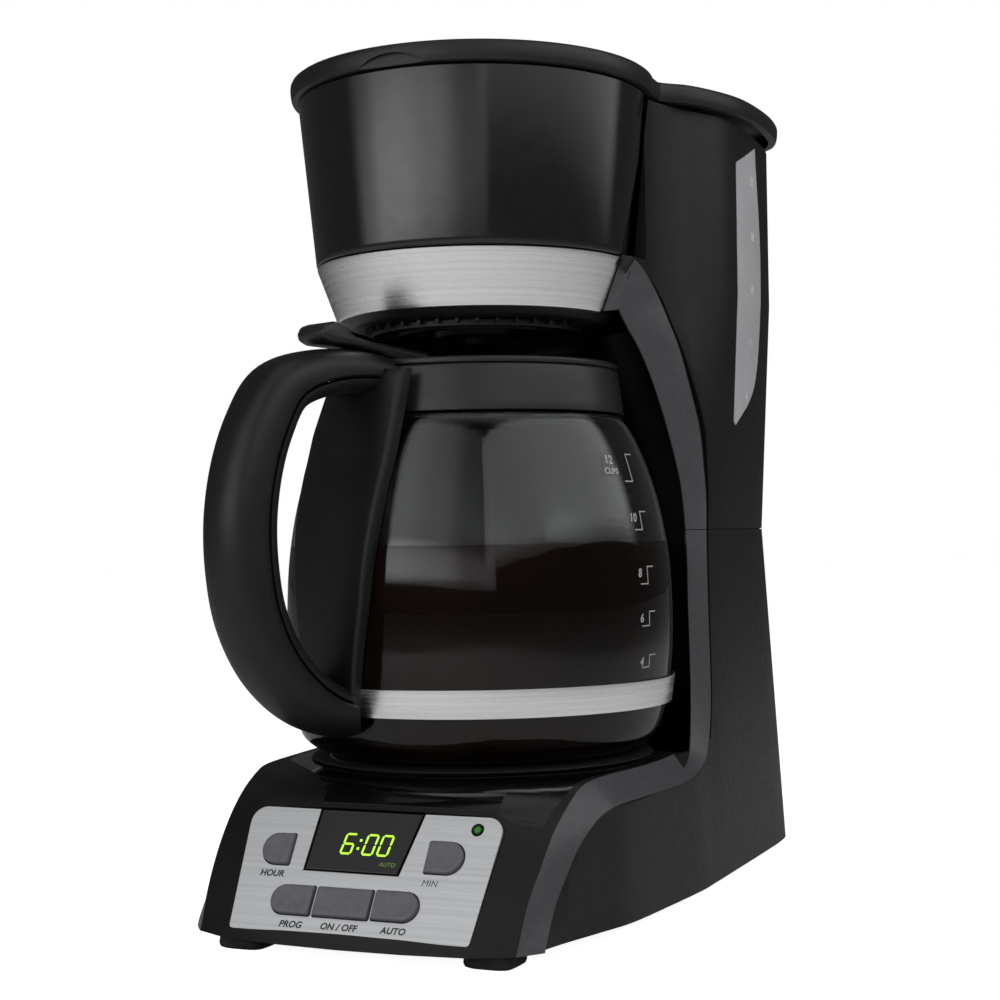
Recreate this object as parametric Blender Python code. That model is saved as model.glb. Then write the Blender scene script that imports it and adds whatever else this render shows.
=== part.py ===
"""Drip coffee maker, built as separate pieces around the upright axis of its carafe and brew basket.

The helpers below take millimetres, because that is how the sizes are known, and write metres into the meshes.
The front faces -Y, the viewer's right is +X and the floor is Z = 0. Every piece is a child of the empty
coffee_maker, which moves the carafe axis back so that the whole object stands centred on the origin.
"""

from math import asin, cos, degrees, hypot, pi, radians, sin

import bmesh
import bpy
from mathutils import Matrix, Vector

MM = 0.001
GAP = 0.3  # clearance between neighbouring pieces

# Driving sizes, in millimetres, measured from the carafe axis and from the floor.
AXIS_Y = -23.5  # where the carafe axis stands, so that the object's box is centred on the origin
HOUSING_BOTTOM = 5.0
SEAM_Z = 147.0  # joint between the lower and the upper housing
HOUSING_TOP = 319.5
WALL = 2.6
DECK_Z = 58.0
PLATE_TOP = 60.0
GLASS_BOTTOM = 60.4
COVER_BOTTOM, COVER_TOP = 320.6, 329.0
HINGE_Y, HINGE_Z = 154.5, 323.5
PLATE_R = 62.0
BAND_TOP_Z, BAND_BOTTOM_Z = 253.7, 232.3
HANDLE_ANGLE = 20.0  # degrees from the front towards the viewer's left
VALVE_TRAVEL = 4.0
BUTTON_TRAVEL = 1.2

# Half outlines of the body seen from above, from the front round the right side to the back.
FLOOR_OUTLINE = (
    (62, -135), (66, -105), (69, -89), (75, -67), (80, -47), (83, -16), (85.5, 18), (85.5, 35), (85.3, 52),
    (85, 72), (84.7, 95), (84.2, 120), (83.6, 140), (81.5, 156), (75, 166), (62, 170), (35, 171.5), (0, 172),
)
WAIST_OUTLINE = (
    (62, -135), (66, -105), (68, -89), (73, -67), (76, -47), (77.5, -16), (78, 10), (78.8, 35), (80.5, 50),
    (81.5, 65), (82, 85), (82, 105), (81, 122), (78.5, 136), (73, 147), (62, 153), (35, 156), (0, 157),
)
SHOULDER_WAIST = (
    (50, -12), (62, -8), (72, 4), (76, 16), (78, 26), (78.8, 35), (80.5, 50),
    (81.5, 65), (82, 85), (82, 105), (81, 122), (78.5, 136), (73, 147), (62, 153), (35, 156), (0, 157),
)
SHOULDER_TOP = (
    (50, -12), (60, -8), (66, 0), (67.5, 10), (69, 24), (74, 42), (80, 54),
    (85, 67), (87, 82), (87.5, 100), (86.8, 118), (84.5, 134), (78, 146), (64, 152), (35, 155), (0, 156),
)
SHOULDER_FULL_Z = 247.0  # above this the tower keeps its top outline

# The water window in the right wall, seen from the side as (Y, Z).
WINDOW_OUTLINE = (
    (77, 192), (80, 190.5), (101, 204), (109.5, 220), (111.5, 250), (111.5, 275), (105, 314), (78, 303),
)

# The C-shaped front edge of the body, seen from the side: (centre Y, Z), inner edge (X, Y, Z), outer edge.
EDGE_STATIONS = (
    ((-120.5, 3), (62, -113, 3), (69, -104, 3)),
    ((-117, 8.3), (62.3, -110.5, 8), (69, -101, 8.7)),
    ((-108.8, 21.4), (63.2, -104, 21), (68.9, -92.6, 19.3)),
    ((-100.4, 34.7), (64.6, -95, 32.5), (70, -85, 28)),
    ((-93.5, 45.5), (65.4, -85.5, 42.6), (71.6, -78.2, 36)),
    ((-87, 53), (66.5, -74.5, 50.5), (73.4, -71, 41.8)),
    ((-78, 57), (67.5, -63, 56), (75.2, -63, 46)),
    ((-64, DECK_Z), (70, -50, 57.8), (77.7, -52, 48.1)),
    ((-30, DECK_Z), (74, -20, 58), (80.4, -27, 48.4)),
    ((0, DECK_Z), (75.5, 0, 58.3), (81.8, -8, 48.3)),
    ((14, 58.3), (76, 15, 59.2), (83, 12.6, 49.1)),
    ((26, 61.5), (75.8, 26, 62.5), (83.1, 27.4, 52)),
    ((34, 70), (75.4, 32.5, 70), (83, 36.5, 59)),
    ((38, 85), (75, 37.5, 85), (82.5, 43, 77.6)),
    ((42, 110), (74, 41, 110), (81.3, 45.6, 110)),
    ((44, 134), (73.2, 43.5, 134.6), (80.4, 47.5, 138)),
    ((44, 155), (72.2, 43.7, 155), (79.9, 49.6, 159)),
    ((41, 171), (70.8, 41, 171.4), (79.2, 49.5, 172)),
    ((34, 191.6), (68.1, 33.7, 191.6), (78.2, 48.3, 188)),
    ((25.5, 207.5), (65.7, 25.5, 207.5), (76.3, 43.2, 204)),
    ((16, 218.8), (64.2, 16, 218.8), (74, 36.8, 220)),
    ((7, 227), (62.5, 7, 227), (71.9, 30.9, 230.2)),
    ((-1, 233.5), (61.4, 0, 233.5), (69.8, 25.2, 239.4)),
    ((-10, 237), (61.5, -4, 239), (68.5, 17.2, 246.6)),
    ((-20, 240), (62, -8, 246), (67, 3, 253.5)),
    ((-40, 242), (62, -40, 250), (67, -40, 256)),
)
FRONT_BULGE = ((0, 4.0), (24, 3.0), (47, 0.0))  # (X, how far the front stands before its flat centre line)
BULGE_FADE = 28.0  # height over which the bulge dies out below the deck
RIM_OVERRUN = 3.0  # how far the slanted rim runs on past the outer edge
FAR_OUT, FAR_FRONT = 150.0, -260.0  # a helper solid's ends, well outside the body

# Radius against height of the hollow that the carafe stands in, and of the hollow for the basket above it.
BAY = ((84.5, DECK_Z), (84.5, 150), (82, 171), (76.2, 192), (70.5, 207.5), (66, 219), (62.2, 229))
LINER = 2.0
SHELL_TOP_R, SHELL_BOTTOM_R = 70.5, 63.9
BAND_BOTTOM_R = 56.0
BASKET_FLOOR = 237.2

GLASS = (
    (0, 60.4), (60, 60.4), (68.5, 64.2), (73.4, 71), (76.7, 90.5), (77.7, 110), (76.9, 134), (73.9, 155),
    (69, 173.5), (62.5, 189.4), (57.2, 193.1), (54.6, 197.1), (53.6, 201.6), (53.6, 208.6),
)
GLASS_WALL = 2.2
COLLAR_R, COLLAR_BOTTOM, COLLAR_TOP = 57.5, 192.6, 211.0
BAND_LOW, BAND_HIGH = 79.3, 90.0

# The control panel lies in a plane that leans back: along it s runs up from the panel's lower edge.
PANEL_FOOT = Vector((0, -117.0, 8.3))
PANEL_UP = Vector((0, 24.9, 39.7)).normalized()
PANEL_OUT = Vector((0, -PANEL_UP.z, PANEL_UP.y))
PANEL_HALF_BOTTOM, PANEL_HALF_TOP, PANEL_HEIGHT = 47.2, 51.0, 46.8
PANEL_THICK = 1.4
DISPLAY_MIDDLE = -1.4
# name: (left, right, low, high, side that is rounded)
BUTTONS = {
    "hour_button": (-41.6, -29.9, 24.8, 36.4, -1),
    "min_button": (24.2, 38.0, 25.0, 36.7, 1),
    "prog_button": (-32.6, -16.4, 6.6, 17.2, -1),
    "on_off_button": (-14.9, 6.8, 6.6, 17.2, 0),
    "auto_button": (8.2, 25.2, 6.8, 17.4, 1),
}
LED_AT = (40.8, 42.0)

COLOURS = {  # name: (colour, roughness, metallic)
    "body_black": ((0.014, 0.014, 0.015), 0.38, 0),
    "gloss_black": ((0.010, 0.010, 0.011), 0.10, 0),
    "steel": ((0.62, 0.62, 0.61), 0.30, 1),
    "glass": ((0.80, 0.84, 0.84), 0.03, 0),
    "window": ((0.42, 0.43, 0.43), 0.25, 0),
    "grey_plastic": ((0.13, 0.13, 0.135), 0.42, 0),
    "rubber": ((0.016, 0.016, 0.016), 0.75, 0),
    "plate_black": ((0.012, 0.012, 0.012), 0.30, 0),
    "tank": ((0.10, 0.10, 0.105), 0.4, 0),
    "aluminium": ((0.55, 0.55, 0.56), 0.38, 1),
    "silicone": ((0.60, 0.58, 0.54), 0.5, 0),
    "board": ((0.03, 0.12, 0.05), 0.5, 0),
    "led_green": ((0.10, 0.65, 0.06), 0.3, 0),
    "lens": ((0.006, 0.006, 0.007), 0.06, 0),
}


def clear_scene():
    for old in list(bpy.data.objects):
        bpy.data.objects.remove(old, do_unlink=True)


def make_materials():
    made = {}
    for name, (colour, roughness, metallic) in COLOURS.items():
        material = bpy.data.materials.new(name)
        material.use_nodes = True
        shader = material.node_tree.nodes["Principled BSDF"]
        shader.inputs["Base Color"].default_value = (*colour, 1)
        shader.inputs["Roughness"].default_value = roughness
        shader.inputs["Metallic"].default_value = metallic
        made[name] = material
    return made


# ---------------------------------------------------------------- helpers


def place(name, bm, material, at=(0, 0, 0), smooth=35.0):
    """Turns a bmesh in millimetres into an object whose origin is at the point at."""
    bmesh.ops.remove_doubles(bm, verts=bm.verts, dist=1e-5)
    bmesh.ops.recalc_face_normals(bm, faces=bm.faces)
    bmesh.ops.transform(bm, matrix=Matrix.Scale(MM, 4) @ Matrix.Translation(-Vector(at)), verts=bm.verts)
    mesh = bpy.data.meshes.new(name)
    bm.to_mesh(mesh)
    bm.free()
    obj = bpy.data.objects.new(name, mesh)
    bpy.context.scene.collection.objects.link(obj)
    obj.parent = ROOT
    obj.location = Vector(at) * MM
    if material is None:
        obj.hide_render = True
        obj.display_type = "WIRE"
        return obj
    mesh.materials.append(MATERIALS[material])
    mesh.shade_smooth()
    mesh.set_sharp_from_angle(angle=radians(smooth))
    return obj


def boolean(obj, operation, *cutters):
    for cutter in cutters:
        modifier = obj.modifiers.new(cutter.name, "BOOLEAN")
        modifier.operation = operation
        modifier.object = cutter
    return obj


def cut(obj, *cutters):
    return boolean(obj, "DIFFERENCE", *cutters)


def bridge(bm, rings, closed_ends=True):
    """Joins rings of equal length, each a closed loop, into a tube with flat ends."""
    loops = [[bm.verts.new(p) for p in ring] for ring in rings]
    count = len(loops[0])
    for low, high in zip(loops, loops[1:]):
        for i in range(count):
            j = (i + 1) % count
            bm.faces.new((low[i], low[j], high[j], high[i]))
    if closed_ends:
        bm.faces.new(list(reversed(loops[0])))
        bm.faces.new(loops[-1])
    return loops


def loft(rings):
    bm = bmesh.new()
    bridge(bm, rings)
    return bm


def prism(points, low, high):
    return loft([[(x, y, z) for x, y in points] for z in (low, high)])


def turned(profile, segments=40, centre=(0, 0)):
    """A closed profile of (radius, height) points, turned a full circle about the upright line at centre."""
    bm = bmesh.new()
    rings = []
    for k in range(segments):
        angle = 2 * pi * k / segments
        c, s = cos(angle), sin(angle)
        rings.append([bm.verts.new((centre[0] + r * c, centre[1] + r * s, z)) for r, z in profile])
    count = len(profile)
    for k in range(segments):
        here, there = rings[k], rings[(k + 1) % segments]
        for i in range(count):
            j = (i + 1) % count
            if profile[i][0] or profile[j][0]:
                bm.faces.new((here[i], there[i], there[j], here[j]))
    bmesh.ops.remove_doubles(bm, verts=bm.verts, dist=1e-6)
    bmesh.ops.dissolve_degenerate(bm, edges=bm.edges, dist=1e-6)
    return bm


def block(low, high, radius=0.0):
    bm = bmesh.new()
    size = Vector(high) - Vector(low)
    middle = (Vector(high) + Vector(low)) / 2
    bmesh.ops.create_cube(bm, size=1, matrix=Matrix.Translation(middle) @ Matrix.Diagonal((*size, 1)))
    if radius:
        bmesh.ops.bevel(bm, geom=bm.edges[:], offset=radius, segments=2, affect="EDGES", profile=0.5)
    return bm


def cylinder(start, end, radius, segments=20, end_radius=None):
    start, end = Vector(start), Vector(end)
    bm = bmesh.new()
    turn = (end - start).to_track_quat("Z", "Y").to_matrix().to_4x4()
    bmesh.ops.create_cone(
        bm, cap_ends=True, segments=segments, radius1=radius,
        radius2=radius if end_radius is None else end_radius, depth=(end - start).length,
        matrix=Matrix.Translation((start + end) / 2) @ turn,
    )
    return bm


def tube(path, radius, bore=0.0, sides=10):
    """A round tube along a list of points, solid or with a bore open at both ends."""
    points = [Vector(p) for p in path]
    rings_out, rings_in = [], []
    for i, point in enumerate(points):
        ahead = (points[min(i + 1, len(points) - 1)] - points[max(i - 1, 0)]).normalized()
        if i == 0:
            side = ahead.orthogonal().normalized()
        side = (side - ahead * side.dot(ahead)).normalized()
        up = ahead.cross(side)
        turns = [2 * pi * k / sides for k in range(sides)]
        rings_out.append([point + (side * cos(a) + up * sin(a)) * radius for a in turns])
        rings_in.append([point + (side * cos(a) + up * sin(a)) * bore for a in turns])
    if not bore:
        return loft(rings_out)
    bm = bmesh.new()
    outer = bridge(bm, rings_out, closed_ends=False)
    inner = bridge(bm, list(reversed(rings_in)), closed_ends=False)
    for a, b in ((outer[0], inner[-1]), (outer[-1], inner[0])):
        for k in range(sides):
            m = (k + 1) % sides
            bm.faces.new((a[k], a[m], b[m], b[k]))
    return bm


def smooth_line(points, steps=3):
    """A Catmull-Rom curve through the points, with steps stretches between each two."""
    points = [Vector(p) for p in points]
    ends = [points[0] * 2 - points[1], *points, points[-1] * 2 - points[-2]]
    line = []
    for before, start, end, after in zip(ends, ends[1:], ends[2:], ends[3:]):
        for k in range(steps):
            t = k / steps
            line.append(
                (start * 2 + (end - before) * t + (before * 2 - start * 5 + end * 4 - after) * t**2
                 + (start * 3 - before - end * 3 + after) * t**3) / 2
            )
    line.append(points[-1])
    return line


def polar(angle, radius, z):
    """A point at this angle, in degrees, from the front towards the viewer's left."""
    a = radians(angle)
    return Vector((-radius * sin(a), -radius * cos(a), z))


def on_panel(x, s, out=0.0):
    return PANEL_FOOT + Vector((x, 0, 0)) + PANEL_UP * s + PANEL_OUT * out


def panel_prism(outline, low, high):
    """A prism of (x, s) points standing on the panel's plane, from low to high along its outward normal."""
    return loft([[on_panel(x, s, out) for x, s in outline] for out in (low, high)])


def inset(points, amount):
    """Moves a closed loop of (x, y) points inwards; the loop runs anticlockwise."""
    moved = []
    for i, (x, y) in enumerate(points):
        (ax, ay), (bx, by) = points[i - 1], points[(i + 1) % len(points)]
        length = hypot(bx - ax, by - ay)
        moved.append((x - (by - ay) / length * amount, y + (bx - ax) / length * amount))
    return moved


def ring_outline(half, steps=2):
    """The whole outline from its right half, as an anticlockwise loop."""
    right = [(p.x, p.y) for p in smooth_line([(x, y, 0) for x, y in half], steps)]
    return right + [(-x, y) for x, y in reversed(right[:-1])]


def mixed(first, second, share):
    return [(a + (c - a) * share, b + (d - b) * share) for (a, b), (c, d) in zip(first, second)]


# ---------------------------------------------------------------- body shape


def lower_outline(z):
    return ring_outline(mixed(FLOOR_OUTLINE, WAIST_OUTLINE, (z - HOUSING_BOTTOM) / (SEAM_Z - HOUSING_BOTTOM)))


def upper_outline(z):
    share = min((z - SEAM_Z) / (SHOULDER_FULL_Z - SEAM_Z), 1.0)
    return ring_outline(mixed(SHOULDER_WAIST, SHOULDER_TOP, share))


def lower_block(name, amount, low, high):
    rings = [[(x, y, z) for x, y in inset(lower_outline(z), amount)] for z in (low, 52, 98, high)]
    return place(name, loft(rings), None)


def upper_block(name, amount, low, high):
    levels = (low, 180, 214, SHOULDER_FULL_Z, high)
    rings = [[(x, y, z) for x, y in inset(upper_outline(z), amount)] for z in levels]
    return place(name, loft(rings), None)


def edge_rows(steps=2):
    """The stations of the front edge, smoothed, as rows of middle, inner edge and outer edge points."""
    middles = smooth_line([(0, *middle) for middle, _, _ in EDGE_STATIONS], steps)
    inners = smooth_line([inner for _, inner, _ in EDGE_STATIONS], steps)
    outers = smooth_line([outer for _, _, outer in EDGE_STATIONS], steps)
    return list(zip(middles, inners, outers))


def front_point(middle, x, bulge):
    """A point of the front face beside its centre line. Only the part below the deck bulges."""
    share = min(1.0, max(0.0, (DECK_Z - middle.z) / BULGE_FADE)) if middle.y < 0 else 0.0
    return Vector((x, middle.y - bulge * share, middle.z))


def front_void(name, grow=0.0):
    """The space before the C-shaped edge, with its slanted rims; grow pushes it that far into the body."""
    rows = edge_rows()
    loops = []
    for i, (middle, inner, outer) in enumerate(rows):
        ahead = rows[min(i + 1, len(rows) - 1)][0] - rows[max(i - 1, 0)][0]
        push = Vector((0, ahead.z, -ahead.y)).normalized() * grow
        past = outer + (outer - inner) * (RIM_OVERRUN / (outer.x - inner.x))
        half = [front_point(middle, x, bulge) for x, bulge in FRONT_BULGE]
        half += [inner, past, Vector((FAR_OUT, past.y, past.z))]
        other = [Vector((-p.x, p.y, p.z)) for p in reversed(half[1:])]
        loops.append([p + push for p in other + half])
    rings = []
    for column in zip(*loops):
        x, low, high = column[0].x, column[0].z, column[-1].z
        rings.append([*column, Vector((x, FAR_FRONT, high)), Vector((x, FAR_FRONT, low))])
    return place(name, loft(rings), None)


def bay_profile(grow):
    """The hollow's outline about the carafe axis, grown outwards, from the deck up to above the cover."""
    low = [(r + grow, z) for r, z in BAY]
    return [
        (0, DECK_Z + 0.5), (low[0][0], DECK_Z + 0.5), *low[1:],
        (SHELL_BOTTOM_R + 0.5 + grow - LINER - GAP, BAY[-1][1] + 0.6),
        (SHELL_BOTTOM_R + 0.5 + grow - LINER - GAP, BAND_TOP_Z + 0.5),
        (SHELL_TOP_R + 0.6 + grow - LINER - GAP, 320), (SHELL_TOP_R + 0.6 + grow - LINER - GAP, 345),
        (0, 345),
    ]


def make_housings():
    void = front_void("front_void")
    void_deep = front_void("front_void_deep", WALL)
    bay = place("bay_space", turned(bay_profile(LINER + GAP), 50), None)
    bay_deep = place("bay_space_deep", turned(bay_profile(LINER + GAP + WALL), 46), None)
    brow = place("brow_space", block((-150, -150, BAND_TOP_Z + 0.6), (150, 15, 345)), None)
    brow_deep = place("brow_space_deep", block((-150, -150, BAND_TOP_Z - 2), (150, 15 + WALL, 345)), None)
    panel_pocket = place("panel_pocket", panel_prism(panel_outline(GAP), -PANEL_THICK - GAP, 20), None)
    panel_window = place("panel_window", panel_prism(
        [(-44, 5), (44, 5), (44, 44), (-44, 44)], -20, 20), None)
    well = place("plate_well", turned([(0, 40), (66.3, 40), (66.3, 80), (0, 80)], 48), None)

    lower = lower_block("lower_housing", 0, HOUSING_BOTTOM, SEAM_Z - GAP / 2)
    lower_space = lower_block("lower_space", WALL, HOUSING_BOTTOM - 5, SEAM_Z + 5)
    cut(lower_space, void_deep, bay_deep)
    finish(lower, "body_black")
    inlet = place("inlet_hole", cylinder((-48, 160, 24), (-48, 185, 24), 7.3), None)
    m = DISPLAY_MIDDLE
    lens_window = place("lens_window", panel_prism([(m - 20.8, 40), (m + 20.8, 40), (m + 20.8, 47.2),
                                                    (m - 20.8, 47.2)], -20, 20), None)
    cut(lower, void, bay, lower_space, well, panel_pocket, panel_window, lens_window, inlet)

    upper = upper_block("upper_housing", 0, SEAM_Z + GAP / 2, HOUSING_TOP)
    upper_space = upper_block("upper_space", WALL, SEAM_Z - 5, HOUSING_TOP + 8)
    cut(upper_space, void_deep, bay_deep, brow_deep)
    finish(upper, "body_black")
    window_hole = place("window_hole", window_prism(0), None)
    rear_slope = loft([[(x, 60, 319.6), (x, 190, 313.5), (x, 190, 330), (x, 60, 330)] for x in (-100, 100)])
    slope = place("rear_slope", rear_slope, None)
    cut(upper, void, bay, brow, upper_space, window_hole, slope)
    for side, x in (("left", -47), ("right", 47)):
        post = block((x - 2.4, HINGE_Y - 7, 312.6), (x + 2.4, HINGE_Y + 0.5, 326.4))
        bore = cylinder((x - 6, HINGE_Y, HINGE_Z), (x + 6, HINGE_Y, HINGE_Z), 2.0, 16)
        boolean(upper, "UNION", place(f"hinge_post_{side}", post, None))
        cut(upper, place(f"post_bore_{side}", bore, None))

    window = place("water_window", window_prism(2 * GAP), "window")
    skin = upper_block("window_skin", 0, SEAM_Z, HOUSING_TOP)
    skin_inside = upper_block("window_skin_inside", WALL - 0.4, SEAM_Z - 1, HOUSING_TOP + 1)
    boolean(window, "INTERSECT", skin)
    cut(window, skin_inside)

    liner_out = [(r + LINER, z) for r, z in BAY]
    liner = place("bay_liner", turned([*BAY, *reversed(liner_out)], 48), "gloss_black")
    liner_low = place("liner_floor_space", block((-120, -120, 0), (120, 120, DECK_Z + GAP + 0.5)), None)
    cut(liner, liner_low, front_void("front_void_liner", 0.4))


def finish(obj, material):
    """Turns a helper solid into a visible piece."""
    obj.hide_render = False
    obj.display_type = "TEXTURED"
    obj.data.materials.append(MATERIALS[material])
    obj.data.shade_smooth()
    obj.data.set_sharp_from_angle(angle=radians(35))


def window_prism(shrink):
    return loft([[(x, y, z) for y, z in inset(WINDOW_OUTLINE, shrink)] for x in (60, 110)])


def make_base():
    floor = inset(lower_outline(HOUSING_BOTTOM + 1), WALL + 0.5)
    pan = place("base_pan", prism(floor, HOUSING_BOTTOM + 0.2, HOUSING_BOTTOM + 2.2), "body_black")
    cut(pan, front_void("front_void_pan", WALL + 0.8))
    for row in range(5):
        y = 20 + row * 9
        slot = place(f"vent_slot_{row}", block((-32, y, 0), (32, y + 4, 12)), None)
        cut(pan, slot)
    feet = {
        "front_right": (51, -104), "front_left": (-45, -105.5),
        "rear_right": (62, 148), "rear_left": (-62, 148),
    }
    for corner, (x, y) in feet.items():
        profile = [(0, 0), (8.4, 0), (9.6, 1.2), (9.2, HOUSING_BOTTOM - 0.1), (0, HOUSING_BOTTOM - 0.1)]
        place(f"foot_{corner}", turned(profile, 20, (x, y)), "rubber")
    for side, x in (("left", -30), ("right", 30)):
        screw = turned([(0, 3.6), (3.2, 3.6), (3.2, 4.9), (0, 4.9)], 12, (x, 120))
        place(f"base_screw_{side}", screw, "steel")
    gland = tube([(-48, 162, 24), (-48, 174, 24)], 7.0, 3.2, 14)
    place("cord_inlet", gland, "rubber")


def make_heater():
    plate = turned([(0, 57), (PLATE_R - 1, 57), (PLATE_R - 1, 56), (PLATE_R, 56), (PLATE_R, 59.2),
                    (PLATE_R - 0.8, PLATE_TOP), (0, PLATE_TOP)], 40)
    place("warming_plate", plate, "plate_black")
    ring = turned([(PLATE_R + GAP, 54), (66.0, 54), (66.0, DECK_Z + 0.8), (68.6, DECK_Z + 0.8), (68.2, 59.4),
                   (PLATE_R + GAP, 59.5)], 40)
    place("plate_ring", ring, "rubber")
    arc = [polar(angle, 42, 49.5) for angle in range(-150, 151, 20)]
    legs = [polar(-165, 60, 46), polar(-160, 50, 48.5)]
    legs_back = [polar(160, 50, 48.5), polar(165, 60, 46)]
    place("heater", tube([*legs, *arc, *legs_back], 6.0, 3.0, 8), "aluminium")
    place("heater_bracket", block((-58, -8, 39.5), (58, 8, 41.5), 0.5), "steel")
    place("thermostat", cylinder((0, -42, 31), (0, -42, 43), 7.5, 16), "aluminium")
    place("thermal_fuse", cylinder((-20, 24, 38.5), (20, 24, 38.5), 2.6, 10), "aluminium")
    hose = smooth_line(
        [(34, 108, 152), (34, 108, 110), (33, 105, 76), (28, 95, 54), (18, 78, 46), (15.6, 62, 46)], 2)
    place("cold_water_hose", tube(hose, 5.6, 3.6, 8), "silicone")
    place("check_valve", turned([(3.6, 153), (8, 153), (8, 158), (5.4, 162.5), (3.6, 162.5)], 16, (34, 108)),
          "aluminium")
    riser = smooth_line(
        [(-15.6, 62, 46), (-14, 78, 46), (-8, 89.5, 47), (-2, 94.3, 56), (0, 94.5, 75), (0, 94.5, 220),
         (0, 94.5, 300), (0, 92.5, 313), (0, 85, 320.4), (0, 75.5, 321.6)], 2)
    place("hot_water_riser", tube(riser, 4.0, 2.8, 8), "silicone")


def make_tank():
    outline = inset(ring_outline(SHOULDER_WAIST), WALL + 1.2)
    inside = inset(ring_outline(SHOULDER_WAIST), WALL + 3.2)
    tank = place("water_tank", prism(outline, 163, 312), "tank")
    hollow = place("tank_hollow", prism(inside, 165.5, 330), None)
    wall_space = place("tank_wall_space", turned([(0, 100), (90.2, 100), (90.2, 340), (0, 340)], 48), None)
    round_space = turned([(0, 100), (92.4, 100), (92.4, 340), (0, 340)], 48)
    hollow_space = place("tank_hollow_space", round_space, None)
    riser_space = place("tank_riser_space", block((-6.5, 60, 100), (6.5, 101, 340)), None)
    riser_wall = place("tank_riser_wall", block((-8.5, 60, 100), (8.5, 103, 340)), None)
    front_space = place("tank_front_space", block((-100, 0, 100), (100, 58, 340)), None)
    front_wall = place("tank_front_wall", block((-100, 0, 100), (100, 60, 340)), None)
    cut(hollow, hollow_space, riser_wall, front_wall)
    outlet = place("tank_outlet", cylinder((34, 108, 150), (34, 108, 170), 3.6, 16), None)
    cut(tank, wall_space, riser_space, front_space, hollow, outlet)


def side_space(line, back=150, half_width=120):
    """The space behind a line of (Y, Z) points seen from the side."""
    points = [*line, (back, line[-1][1]), (back, line[0][1])]
    return loft([[(x, y, z) for y, z in points] for x in (-half_width, half_width)])


def make_basket_housing():
    outer = [(SHELL_TOP_R - 2.6, 319), (SHELL_BOTTOM_R - 2.6, 254.6), (SHELL_BOTTOM_R - 2.0, 253.6),
             (BAND_BOTTOM_R - 1.8, BAND_BOTTOM_Z + 0.2)]
    inner = [(SHELL_TOP_R - 4.8, 319), (SHELL_BOTTOM_R - 4.8, 254), (BAND_BOTTOM_R - 4.2, 233.4), (14, 231.4)]
    profile = [*outer, (BAND_BOTTOM_R - 5.5, 229.6), (14, 228.5), *reversed(inner)]
    place("basket_housing", turned(profile, 34), "body_black")
    shell = [
        (SHELL_TOP_R, 320.2), (SHELL_BOTTOM_R + 0.05, BAND_TOP_Z + 0.6),
        (SHELL_BOTTOM_R - 2.2, BAND_TOP_Z + 0.6), (SHELL_TOP_R - 2.25, 320.2),
    ]
    front = place("front_shell", turned(shell, 56), "gloss_black")
    shell_back = side_space([(11.5, 322), (13, 295), (6, 276), (1, 262), (-1.5, 252)])
    cut(front, place("shell_back_space", shell_back, None))
    band = [
        (SHELL_BOTTOM_R, BAND_TOP_Z), (BAND_BOTTOM_R, BAND_BOTTOM_Z),
        (BAND_BOTTOM_R - 1.4, BAND_BOTTOM_Z), (SHELL_BOTTOM_R - 1.5, BAND_TOP_Z),
    ]
    steel = place("steel_band", turned(band, 56), "steel")
    cut(steel, place("band_back_space", side_space([(-2.2, 262), (-4.6, 220)]), None))
    nozzle = [(14.3, 226), (16.2, 226), (16.2, 228.2), (14.3, 228.2)]
    place("nozzle_ring", turned(nozzle, 20), "body_black")


def make_brew_basket():
    wall = [(64.4, 319.9), (64.4, 321.0), (58.4, 321.0), (51.8, 257), (44.6, 239.6), (6.2, BASKET_FLOOR),
            (6.2, 232), (9.4, 232), (9.4, 235), (46.4, 236.8), (54, 256), (60.6, 319.9)]
    basket = place("brew_basket", turned(wall, 30), "body_black", at=(0, 0, 232))
    cage = place("spring_cage", block((-12.5, -2.5, BASKET_FLOOR - 1.2), (12.5, 2.5, 257)), None)
    cage_space = place("spring_cage_space", block((-10, -5, BASKET_FLOOR - 5), (10, 5, 254.8)), None)
    boolean(cage, "DIFFERENCE", cage_space)
    boolean(basket, "UNION", cage)
    disc = BASKET_FLOOR + VALVE_TRAVEL + GAP
    stem = [(0, 223.2), (4.6, 223.2), (4.6, 229), (3.0, 229.6), (3.0, disc), (8.4, disc), (8.4, disc + 2),
            (0, disc + 2)]
    place("drip_stop_valve", turned(stem, 20), "silicone", at=(0, 0, 240))
    turns = [2 * pi * k / 8 for k in range(33)]
    coil = [Vector((6.9 * cos(a), 6.9 * sin(a), disc + 2.8 + a / (2 * pi) * 2.4)) for a in turns]
    place("drip_stop_spring", tube(coil, 0.45, 0, 5), "steel", at=(0, 0, 240))


def cover_outline(grow=0.0):
    """Half outline of the cover: a round front over the basket, a waist, and the wider back over the tank."""
    points = [(73.7 * sin(radians(a)), -73.7 * cos(radians(a))) for a in range(0, 106, 7)]
    points += [(70.6, 29), (73.6, 32.6), (79.6, 39), (85.6, 51), (90.7, 65.8), (93.2, 81), (93.8, 100),
               (92.8, 118), (89.8, 134), (83, 147), (72, 155), (58, 158.6), (30, 159.4), (0, 159.6)]
    whole = points + [(-x, y) for x, y in reversed(points[1:-1])]
    return inset(whole, -grow)


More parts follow.
